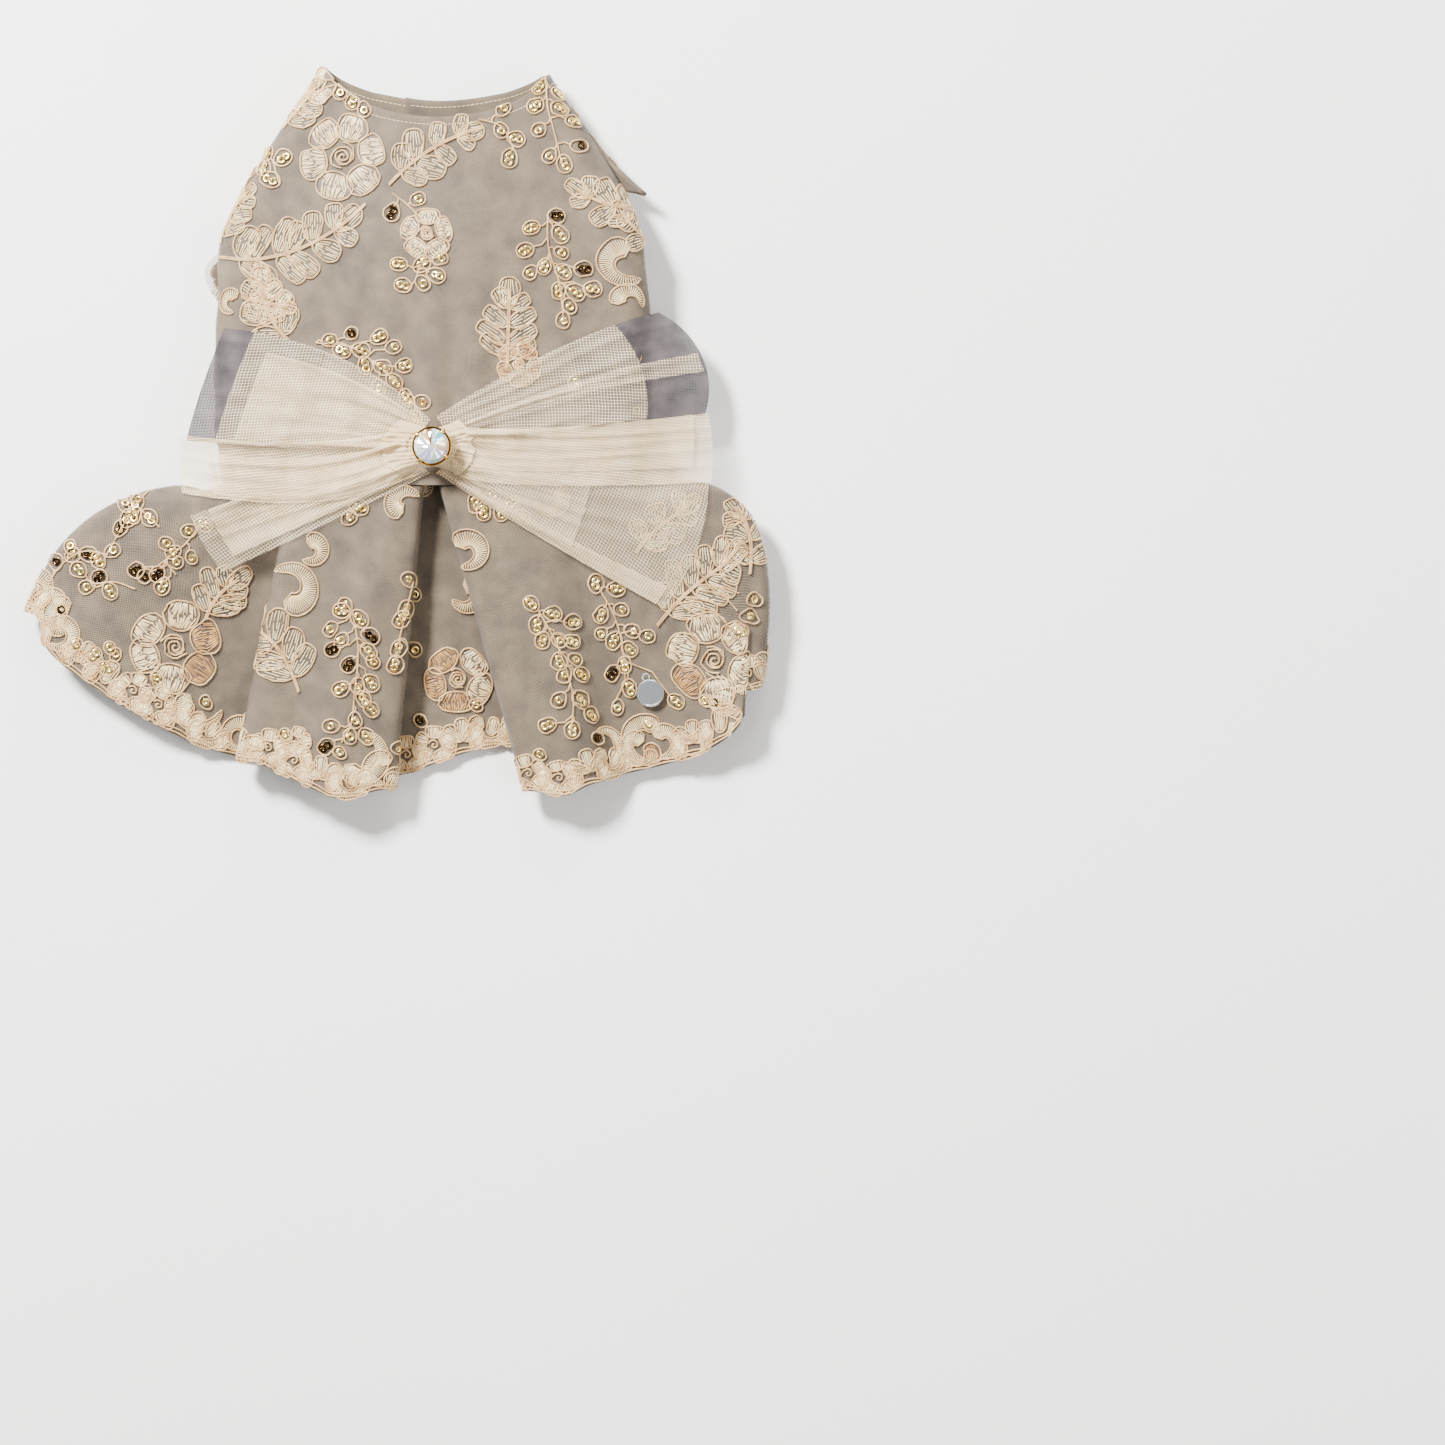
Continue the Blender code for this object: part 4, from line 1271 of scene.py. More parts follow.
@dataclass
class Needlework:
    """The raised work on one cloth: satin threads, outline cords, pads and sequins.

    Attributes:
        cloth: What it is sewn on.
        ground: How far the net lies off the cloth's middle surface.
        cord_radius: The outline cords' radius.
        thread_radius: The satin threads' radius.
        sequin_radius: The sequins' radius.
        satin_pitch: How far threads lie apart in a large petal.
        fine_pitch: The same in a small one.
        leaf_pitch: The same in a leaf's lobe, where they are open.
        scroll_pitch: The same along a scroll.
        cords: The cords sewn so far, and whether each is closed.
        threads: The light threads.
        tan_threads: The tan threads.
        pads: The padded grounds, each of two rings and a middle.
        sequins: Each sequin's place, normal and radius, and whether it is dark, a painted dark
            reflection.
        seed: What its small variations start from.
    """

    cloth: Cloth
    ground: float = LACE_LIFT
    cord_radius: float = 0.00033
    thread_radius: float = 0.00018
    sequin_radius: float = 0.00148
    satin_pitch: float = 0.00064
    fine_pitch: float = 0.00072
    leaf_pitch: float = 0.00108
    scroll_pitch: float = 0.00066
    cords: list[tuple[Array, bool]] = field(default_factory=list)
    threads: list[Array] = field(default_factory=list)
    tan_threads: list[Array] = field(default_factory=list)
    pads: list[Array] = field(default_factory=list)
    sequins: list[tuple[Array, Array, Array, bool]] = field(default_factory=list)
    seed: int = 5

    def __post_init__(self) -> None:
        """Seeds the small variations."""
        self.chance = np.random.default_rng(self.seed)

    def on_cloth(
        self, centre: Array, flat: Array, lift: Array | float, spare: float = 0.25
    ) -> Array | None:
        """Lays flat points on the cloth.

        Args:
            centre: The motif's (column, row) spot.
            flat: The points as flat offsets from it.
            lift: How far they lie off the cloth's middle surface.
            spare: How large a share of them may fall off the cloth.

        Returns:
            The points, or None where more fall off or a fold would stretch them.
        """
        spots = self.cloth.laid(centre, flat)
        limits = np.array(self.cloth.points.shape[:2]) - 1
        off = ((spots < -0.6) | (spots > limits + 0.6)).any(axis=1)
        points = self.cloth.raised(spots, lift)
        stretched = np.ptp(points, axis=0).max() > 1.5 * np.ptp(flat, axis=0).max() + 0.0006
        return None if stretched or off.mean() > spare else points

    def cord(self, centre: Array, flat: Array, closed: bool, lift: float = 0.0) -> None:
        """Sews a cord along flat points.

        Args:
            centre: The motif's (column, row) spot.
            flat: The points as flat offsets from it.
            closed: Whether the cord's ends meet.
            lift: How far it lies above the net.
        """
        points = self.on_cloth(centre, flat, self.ground + self.cord_radius * 1.05 + lift)
        if points is not None:
            self.cords.append((points, closed))

    def satin(
        self, centre: Array, start: Array, end: Array, rise: float, tan: bool = False
    ) -> None:
        """Sews one satin thread.

        Args:
            centre: The motif's (column, row) spot.
            start: One end, as a flat offset from it.
            end: The other end.
            rise: How high it arches.
            tan: Whether it is tan.
        """
        shares = np.array((0.0, 0.25, 0.75, 1.0))
        flat = start + (end - start) * shares[:, None]
        lift = self.ground + self.thread_radius * 0.4 + rise * np.array((0.0, 1.0, 1.0, 0.0))
        points = self.on_cloth(centre, flat, lift, 0.0)
        if points is not None:
            (self.tan_threads if tan else self.threads).append(points)

    def pad(self, centre: Array, flat: Array, rise: float) -> None:
        """Fills a flat outline with a low padded ground.

        Args:
            centre: The motif's (column, row) spot.
            flat: The outline as flat offsets from it.
            rise: How high its middle is.
        """
        middle = flat.mean(axis=0)
        rings = [flat, middle + (flat - middle) * 0.6, middle[None]]
        lifts = (self.ground + 0.00003, self.ground + rise * 0.8, self.ground + rise)
        made = [self.on_cloth(centre, ring, lift) for ring, lift in zip(rings, lifts)]
        if all(ring is not None for ring in made):
            self.pads.append(np.concatenate(made))

    def petal(
        self, centre: Array, at: Sequence[float], angle: float, length: float, width: float,
        threads: int, padded: bool, ends: Rounding, broken: bool = False, tan: bool = False,
    ) -> None:
        """Sews a petal, leaf lobe or bud.

        Args:
            centre: The motif's (column, row) spot.
            at: The petal's root as a flat offset from it.
            angle: Which way it points.
            length: Its length.
            width: Its width.
            threads: How many satin threads fill it.
            padded: Whether a padded ground lies under the threads.
            ends: How round it is.
            broken: Whether each thread is two stitches.
            tan: Whether its thread is tan.
        """
        around = np.linspace(0, FULL_TURN, 20, endpoint=False)
        shares = (1 - np.cos(around)) / 2
        wave = self.chance.standard_normal(20)
        wobble = 1 + 0.04 * (wave + np.roll(wave, 1) + np.roll(wave, -1))
        half = width / 2 * petal_width(shares, ends) * np.sign(np.sin(around)) * wobble
        edge = np.stack((shares * length, half), axis=1)
        self.cord(centre, turned(edge, angle, at), True)
        if padded:
            inner = np.stack((length * (0.04 + 0.92 * shares), half * 0.92), axis=1)
            self.pad(centre, turned(inner, angle, at), 0.00020)
        for k in range(threads):
            side = (2 * k / (threads - 1) - 1) * 0.80
            first, last = 0.09 + 0.05 * abs(side), 0.93 - 0.12 * abs(side) ** 2.5
            middle = (first + last) / 2 + 0.12 * (last - first) * self.chance.standard_normal()
            gap = ((first, middle - 0.045), (middle + 0.045, last))
            cuts = gap if broken else ((first, last),)
            for low, high in cuts:
                sway = 0.018 * width * self.chance.standard_normal(2)
                stitch = np.array([
                    (share * length, side * width / 2 * petal_width(share, ends) + shift)
                    for share, shift in ((low, sway[0]), (high, sway[1]))
                ])
                stitch = turned(stitch, angle, at)
                self.satin(centre, stitch[0], stitch[1], 0.00026 if padded else 0.00012, tan)

    def sequin(self, centre: Array, at: Sequence[float], deep: bool) -> None:
        """Sews a sequin, tilted a little as it lies.

        Args:
            centre: The motif's (column, row) spot.
            at: The sequin's flat offset from it.
            deep: Whether it is one of the dark ones, whose colour is a painted dark reflection.
        """
        spot = self.cloth.laid(centre, np.array((at, (at[0] + 0.001, at[1]))))
        low = self.cloth.raised(spot, self.ground + 0.00025)
        high = self.cloth.raised(spot[:1], self.ground + 0.00125)[0]
        normal = (high - low[0]) / np.linalg.norm(high - low[0])
        normal += 0.13 * self.chance.standard_normal(3)
        side = low[1] - low[0]
        reach = side * self.sequin_radius / np.linalg.norm(side)
        self.sequins.append((low[0], normal, reach, deep))

    def flower(self, flower: Flower) -> None:
        """Sews a flower: petals round a middle of rings."""
        centre = self.cloth.find(*photo_spot(flower.x, flower.y))
        self.flower_at(
            centre, flower.reach * PIXEL, flower.petals, math.radians(flower.turn), flower.tan
        )

    def flower_at(
        self, centre: Array, reach: float, petals: int, turn: float, tan: Sequence[int] = ()
    ) -> None:
        """Sews a flower whose middle is at a (column, row) spot.

        Args:
            centre: That spot.
            reach: How far its petals reach.
            petals: How many it has.
            turn: The first one's angle.
            tan: Which of them are tan.
        """
        root = reach * 0.36
        small = reach < 0.0075
        for k in range(petals):
            angle = turn + FULL_TURN * k / petals + 0.05 * self.chance.standard_normal()
            length = (reach - root) * (1 + 0.05 * self.chance.standard_normal())
            width = 2 * reach * 0.68 * math.tan(math.pi / max(petals, 4)) * 0.98
            at = (root * math.cos(angle), root * math.sin(angle))
            threads = max(4, round(width / (self.fine_pitch if small else self.satin_pitch)))
            self.petal(
                centre, at, angle, length, width, threads, True, BLOOM, not small, k in tan
            )
        if small:
            self.cord(centre, self.swirl(reach * 0.28, 1.2, turn), False, 0.0001)
            return
        self.cord(centre, self.swirl(reach * 0.27, 2.7, turn), False, 0.0002)
        self.cord(centre, self.swirl(reach * 0.33, 0.9, turn + 2), False, 0.0001)

    def swirl(self, radius: float, turns: float, start: float) -> Array:
        """The swirl in a flower's middle, with uneven sides.

        Args:
            radius: How far it reaches.
            turns: How often it goes round.
            start: Its first angle.

        Returns:
            Its flat points, outwards.
        """
        shares = np.linspace(0.0, 1.0, max(12, round(turns * 15)))
        angles = start + shares * turns * FULL_TURN
        uneven = 1 + 0.07 * self.chance.standard_normal(len(shares))
        reach = radius * (0.12 + 0.88 * shares) * uneven
        return np.stack((reach * np.cos(angles), reach * np.sin(angles)), axis=1)

    def leaf(self, leaf: Leaf) -> None:
        """Sews a fern leaf: lobes of open satin along a double vein."""
        start = np.array(photo_spot(leaf.x, leaf.y))
        end = np.array(photo_spot(leaf.tip_x, leaf.tip_y))
        centre = self.cloth.find(*(start + end) / 2)
        self.leaf_at(centre, end - start, leaf.width * PIXEL, leaf.lobes, leaf.bend)

    def leaf_at(self, centre: Array, way: Array, width: float, lobes: int, bend: float) -> None:
        """Sews a fern leaf whose middle is at a (column, row) spot.

        Args:
            centre: That spot.
            way: The vein from its start to its end, as a flat offset.
            width: How long the longest lobes are.
            lobes: How many there are a side.
            bend: How far the vein bends, as a share of its length.
        """
        length = float(np.linalg.norm(way))
        along = way / length
        across = np.array((-along[1], along[0]))
        shares = np.linspace(0, 1, 14)
        vein = (shares[:, None] - 0.5) * way + across * (
            bend * length * (4 * shares * (1 - shares) - 0.5)
        )[:, None]
        for side in (-1, 1):
            self.cord(centre, vein + across * side * 0.00030, False, 0.00015)
        pitch = length * 0.62 / max(lobes - 1, 1)
        for k in range(lobes):
            share = 0.12 + 0.62 * k / max(lobes - 1, 1)
            place = min(round(share * 13), 12)
            step = vein[place + 1] - vein[place]
            heading = math.atan2(step[1], step[0])
            swell = 0.66 + 0.34 * math.sin(math.pi * min(share + 0.2, 1.0))
            for side in (-1, 1):
                size = width * swell * (1 + 0.06 * self.chance.standard_normal())
                lean = math.radians(56 + 6 * self.chance.standard_normal())
                wide = min(pitch * 1.02, size * 0.72)
                root = vein[place] + across * side * 0.0003
                threads = max(4, round(wide / self.leaf_pitch))
                turn = heading + side * lean
                self.petal(centre, root, turn, size, wide, threads, False, LOBE, True)
        step = vein[-1] - vein[-3]
        heading, wide = math.atan2(step[1], step[0]), width * 0.6
        threads = max(4, round(wide / self.leaf_pitch))
        length = width * 0.95
        self.petal(centre, vein[-4], heading, length, wide, threads, False, LEAF_END, True)

    def scroll(self, scroll: Scroll) -> None:
        """Sews a scroll that is placed by the photograph."""
        self.scroll_at(
            self.cloth.find(*photo_spot(scroll.x, scroll.y)), (0.0, 0.0), scroll.radius * PIXEL,
            scroll.width * PIXEL, math.radians(scroll.start), math.radians(scroll.sweep),
        )

    def scroll_at(
        self, centre: Array, at: Sequence[float], radius: float, width: float, start: float,
        sweep: float,
    ) -> None:
        """Sews a comma of satin: a round head that runs out into a thin tail, corded all round.

        Args:
            centre: The motif's (column, row) spot.
            at: The middle of its bend, as a flat offset.
            radius: How far the comma lies from there.
            width: How wide its head is.
            start: The head's angle.
            sweep: How far it bends from there to its tail.
        """
        shares = np.linspace(0, 1, 18)
        angles = start + sweep * shares
        reach = radius * (0.74 + 0.42 * shares)
        taper = 1.12 * (1 - shares) ** 0.55 + 0.1
        half = width / 2 * taper * np.sqrt(np.minimum(shares / 0.14, 1))
        rays = np.stack((np.cos(angles), np.sin(angles)), axis=1)
        mid = rays * reach[:, None] + np.asarray(at)
        outer, inner = mid + rays * half[:, None], mid - rays * half[:, None]
        self.cord(centre, np.concatenate((outer, inner[-2:0:-1])), True)
        pad = np.concatenate((mid + (outer - mid) * 0.85, (mid + (inner - mid) * 0.85)[::-1]))
        self.strip_pad(centre, pad, len(shares))
        count = max(6, round(abs(sweep) * radius / self.scroll_pitch))
        for k in range(count):
            place = (k + 0.5) / count * (len(shares) - 1)
            i = min(int(place), len(shares) - 2)
            share = place - i
            a = outer[i] + (outer[i + 1] - outer[i]) * share
            b = inner[i] + (inner[i + 1] - inner[i]) * share
            if np.linalg.norm(a - b) > 0.0006:
                self.satin(centre, b + (a - b) * 0.13, b + (a - b) * 0.87, 0.00034)

    def strip_pad(self, centre: Array, flat: Array, count: int) -> None:
        """Fills a crescent with pads between its two sides.

        Args:
            centre: The motif's (column, row) spot.
            flat: One side and then the other, backwards, as flat offsets from it.
            count: How many points a side has.
        """
        outer, inner = flat[:count], flat[count:][::-1]
        for i in range(0, count - 1, 3):
            j = min(i + 3, count - 1)
            self.pad(centre, np.concatenate((outer[i:j + 1], inner[i:j + 1][::-1])), 0.00012)

    def sprig(self, sprig: Sprig) -> None:
        """Sews a stem with buds on stalks, each a loop of cord round its sequins."""
        longest_bare, half_bud = 0.0036, 0.0026
        stem = np.array([photo_spot(*spot) for spot in sprig.stem])
        middle = stem.mean(axis=0)
        centre = self.cloth.find(*middle)
        fine = curve_through(np.repeat((stem - middle)[:, None], 2, axis=1), 20)[:, 0]
        self.cord(centre, fine, False)
        for x, y, *deep in sprig.buds:
            spot = np.array(photo_spot(x, y)) - middle
            near = int(np.argmin(np.linalg.norm(fine - spot, axis=1)))
            root = fine[max(near - 2, 0)]
            way = spot - root
            far = float(np.linalg.norm(way))
            angle = math.atan2(way[1], way[0])
            if far > longest_bare:
                stalk = way * (1 - half_bud / far)
                bend = np.array((-way[1], way[0])) * 0.12
                self.cord(centre, np.array((root, root + stalk * 0.5 + bend, root + stalk)), False)
            self.bud(self.cloth.find(*(spot + middle)), angle, bool(deep))

    def bud(self, centre: Array, angle: float, deep: bool, size: float = 0.0062) -> None:
        """Sews one bud round one sequin or two.

        Args:
            centre: Its (column, row) spot.
            angle: Which way it points.
            deep: Whether its sequins are dark, as a painted dark reflection.
            size: Its usual length.
        """
        size *= 1 + 0.07 * self.chance.standard_normal()
        way = np.array((math.cos(angle), math.sin(angle)))
        self.petal(centre, -0.52 * size * way, angle, size, size * 0.8, 0, False, BUD)
        twin = size > 0.0060
        for shift in (-0.14, 0.17) if twin else (0.03,):
            self.sequin(centre, way * shift * size, deep)

    def sew(
        self, flowers: Sequence[Flower], leaves: Sequence[Leaf], scrolls: Sequence[Scroll],
        sprigs: Sequence[Sprig],
    ) -> None:
        """Sews the motifs that the photograph places.

        Args:
            flowers: The flowers, sewn first.
            leaves: The fern leaves.
            scrolls: The satin scrolls.
            sprigs: The stems with their sequins, sewn last.
        """
        for sew_one, motifs in (
            (self.flower, flowers), (self.leaf, leaves), (self.scroll, scrolls),
            (self.sprig, sprigs),
        ):
            for motif in motifs:
                sew_one(motif)

    def heading(self, start: Array, end: Array) -> float:
        """Which way one spot lies from another near it.

        Args:
            start: The (column, row) spot it is seen from.
            end: The other.

        Returns:
            The flat angle.
        """
        way = self.cloth.raised(end[None], 0.0)[0] - self.cloth.raised(start[None], 0.0)[0]
        normal = self.cloth.blended(self.cloth.normals, start[None])[0]
        up = np.array((0.0, 1.0, 0.0)) - normal * normal[1]
        return math.atan2(float(way @ up), float(way @ np.cross(up, normal)))

    def border(
        self, row: float, inward: float, start: float, end: float, depth: float = 0.0134,
        pitch: float = 0.0104,
    ) -> None:
        """Sews the worked border along an edge.

        Args:
            row: The edge's row.
            inward: 1 where the cloth lies towards higher rows, else -1.
            start: The first column.
            end: The last column.
            depth: How wide the border is.
            pitch: How far one unit is from the next.
        """
        columns = np.arange(math.ceil(start), math.floor(end) + 1)
        line = self.cloth.raised(np.stack((columns, np.full(len(columns), row)), axis=1), 0.0)
        lengths = run_along(line)
        for low, wave in ((0.0004, 0.0005), (0.0013, 0.0009)):
            places = np.arange(0.0, lengths[-1], 0.0009)
            spots = np.interp(places, lengths, columns)
            steps = np.linalg.norm(self.cloth.blended(
                self.cloth.steps[1], np.stack((spots, np.full(len(spots), row)), axis=1)
            ), axis=1)
            deep = (low + wave * np.abs(np.sin(places * math.pi / pitch))) / steps
            spots = np.stack((spots, row + inward * deep), axis=1)
            self.cords.append((self.cloth.raised(spots, self.ground + self.cord_radius), False))
        count = max(1, round(lengths[-1] / pitch))
        for k in range(count):
            column = float(np.interp((k + 0.5) / count * lengths[-1], lengths, columns))
            edge = np.array((column, row))
            step = float(np.linalg.norm(self.cloth.blended(self.cloth.steps[1], edge[None])))
            centre = np.array((column, row + inward * depth * 0.5 / step))
            self.border_unit(centre, self.heading(edge, centre), k, depth)

    def border_unit(self, centre: Array, up: float, number: int, depth: float) -> None:
        """Sews one unit of the border.

        Args:
            centre: Its (column, row) spot.
            up: The flat angle that points inwards.
            number: Its number along the border, which decides its motif.
            depth: How wide the border is.
        """
        way = np.array((math.cos(up), math.sin(up)))
        side = np.array((-way[1], way[0]))
        low = -way * depth * 0.42
        size = depth / 0.0115
        for lean in (-0.62, 0.62):
            foot = low + side * lean * depth * 0.44
            tall = size * (0.0060 + 0.0008 * self.chance.standard_normal())
            self.petal(
                centre, foot, up + lean * 0.5, tall, 0.0040 * size, 6, True, BORDER_FOOT,
                tan=number % 3 == 1 and lean > 0,
            )
        # Steps of 5 go through all 8 kinds before one comes again
        kind = number * 5 % 8
        if kind in (0, 5):
            self.flower_at(centre, 0.0056 * size, 5, up)
        elif kind in (1, 4):
            lean = 1 if kind == 1 else -1
            at = way * 0.0012 + side * lean * 0.0006
            self.scroll_at(centre, at, 0.0040 * size, 0.0043 * size, up + lean * 0.9, -lean * 4.4)
        elif kind in (2, 6):
            root, length, wide = low * 0.35, 0.0068 * size, 0.0042 * size
            for lean in (-0.95, 0.0, 0.95):
                self.petal(centre, root, up + lean, length, wide, 6, lean == 0.0, BORDER_FAN)
        elif kind == 3:
            self.petal(
                centre, low * 0.6, up, 0.0074 * size, 0.0050 * size, 7, True, LEAF_END
            )
            tip = self.cloth.moved(centre[None], (way * 0.0064 + side * 0.0012)[None] * size)[0]
            self.bud(tip, up + 0.3, number % 3 == 0, 0.0054)
        else:
            self.scroll_at(centre, side * 0.001, 0.0046 * size, 0.0046 * size, up + 0.4, 4.2)
            self.petal(
                centre, low * 0.5, up - 0.3, 0.0056 * size, 0.0036 * size, 6, True, LEAF_END
            )
        if number % 2:
            spot = way * 0.0072 * size + side * 0.0038 * size
            tip = self.cloth.moved(centre[None], spot[None])[0]
            self.bud(tip, up + 0.9, number % 5 == 0, 0.0050)

    def seam(self, row: float, start: float, end: float, stitch: float = 0.0024) -> None:
        """Sews a row of plain stitches along the cloth.

        Args:
            row: Its row.
            start: The first column.
            end: The last column.
            stitch: How far one stitch is from the next.
        """
        columns = np.linspace(start, end, 400)
        line = self.cloth.raised(np.stack((columns, np.full(len(columns), row)), axis=1), 0.0)
        lengths = run_along(line)
        for k in range(int(lengths[-1] / stitch)):
            ends = np.interp(((k + 0.1) * stitch, (k + 0.8) * stitch), lengths, columns)
            spots = np.stack((np.linspace(ends[0], ends[1], 5), np.full(5, row)), axis=1)
            lift = self.ground + 0.00012 * np.sin(np.linspace(0, math.pi, 5))
            self.threads.append(self.cloth.raised(spots, lift))

    def make(self, name: str, slot: str, *nodes: str) -> list[bpy.types.Object]:
        """Makes the work as pieces: cords, threads, pads and sequins.

        Args:
            name: What their names start with.
            slot: The record's material slot.
            nodes: The CAD nodes that they stand for.

        Returns:
            The pieces.
        """
        made = []
        satin = [(points, False) for points in self.threads]
        tan = [(points, False) for points in self.tan_threads]
        for word, rows, radius, finish in (
            ("cords", self.cords, self.cord_radius, Finish.CORD),
            ("satin", satin, self.thread_radius, Finish.SATIN),
            ("tan_satin", tan, self.thread_radius, Finish.SATIN_TAN),
        ):
            if rows:
                made.append(self.strands(f"{name}_{word}", rows, radius, finish, slot, nodes))
        if self.pads:
            made.append(self.pad_piece(f"{name}_pads", slot, nodes))
        # The dark sequins' colour is a painted dark reflection
        for word, deep, finish in (
            ("sequins", False, Finish.SEQUIN), ("painted_dark_sequins", True, Finish.SEQUIN_PAINTED_DARK),
        ):
            rows = [row for row in self.sequins if row[3] == deep]
            if rows:
                made.append(self.sequin_piece(f"{name}_{word}", rows, finish, slot, nodes))
        return made

    @staticmethod
    def strands(
        name: str, rows: list[tuple[Array, bool]], radius: float, finish: Finish, slot: str,
        nodes: Sequence[str],
    ) -> bpy.types.Object:
        """Makes round strands along rows of points, by bevelling curves.

        Args:
            name: The piece's name.
            rows: Each strand's points, and whether it is closed.
            radius: The strands' radius.
            finish: Their finish.
            slot: The record's material slot.
            nodes: The CAD nodes that the piece stands for.

        Returns:
            The piece.
        """
        curve = bpy.data.curves.new(name, "CURVE")
        curve.dimensions = "3D"
        curve.bevel_depth = radius
        curve.bevel_resolution = 0
        curve.use_fill_caps = True
        for points, closed in rows:
            spline = curve.splines.new("POLY")
            spline.points.add(len(points) - 1)
            flat = np.concatenate((points, np.ones((len(points), 1))), axis=1)
            flat[:, 2] = np.maximum(flat[:, 2], radius + 0.00003)
            spline.points.foreach_set("co", flat.ravel())
            spline.use_cyclic_u = closed
        drawn = bpy.data.objects.new(name, curve)
        graph = bpy.context.evaluated_depsgraph_get()
        bpy.context.scene.collection.objects.link(drawn)
        graph.update()
        mesh = bpy.data.meshes.new_from_object(drawn.evaluated_get(graph))
        bpy.data.objects.remove(drawn)
        bpy.data.curves.remove(curve)
        mesh.polygons.foreach_set("use_smooth", [True] * len(mesh.polygons))
        mesh.name = name
        mesh.materials.clear()
        return piece(name, mesh, finish, slot, *nodes)

    def pad_piece(self, name: str, slot: str, nodes: Sequence[str]) -> bpy.types.Object:
        """Makes the padded grounds, each from a disc of two rings and a middle, coloured dark brown
        as painted shade between the threads.

        Args:
            name: The piece's name.
            slot: The record's material slot.
            nodes: The CAD nodes that the piece stands for.

        Returns:
            The piece.
        """
        form = bmesh.new()
        for points in self.pads:
            count = (len(points) - 1) // 2
            disc = bmesh.ops.create_circle(
                form, cap_ends=True, cap_tris=False, segments=count, radius=1.0
            )
            face = disc["verts"][0].link_faces[0]
            outer = [loop.vert for loop in face.loops]
            bmesh.ops.inset_individual(form, faces=[face], thickness=0.3)
            ring = [loop.vert for loop in face.loops]
            poked = bmesh.ops.poke(form, faces=[face])
            for vertex, place in zip(outer, points[:count]):
                vertex.co = place
            for vertex, place in zip(ring, points[count:2 * count]):
                vertex.co = place
            poked["verts"][0].co = points[-1]
        bmesh.ops.recalc_face_normals(form, faces=form.faces)
        return piece(name, as_mesh(name, form), Finish.PAD_PAINTED_SHADE, slot, *nodes)

    @staticmethod
    def sequin_piece(
        name: str, rows: list[tuple[Array, Array, Array, bool]], finish: Finish, slot: str,
        nodes: Sequence[str],
    ) -> bpy.types.Object:
        """Makes the sequins: cupped discs with a hole, each spun from one section.

        Args:
            name: The piece's name.
            rows: Each sequin's place, normal and radius.
            finish: Their finish.
            slot: The record's material slot.
            nodes: The CAD nodes that the piece stands for.

        Returns:
            The piece.
        """
        # Radii and heights, as shares of the sequin's radius
        section = (
            (0.26, 0.02), (0.62, 0.10), (1.0, 0.26), (1.0, 0.34), (0.62, 0.18), (0.26, 0.09),
        )
        form = bmesh.new()
        for place, normal, side, _ in rows:
            across = Vector(side)
            axis = Vector(normal).normalized()
            size = across.length
            origin = Vector(place)
            corners = [form.verts.new(origin + across * r + axis * h * size) for r, h in section]
            edges = [form.edges.new(pair) for pair in zip(corners, corners[1:] + corners[:1])]
            bmesh.ops.spin(
                form, geom=corners + edges, cent=origin, axis=axis, angle=FULL_TURN, steps=12,
                use_merge=True,
            )
        weld(form)
        return piece(name, as_mesh(name, form), finish, slot, *nodes)


# The bodice

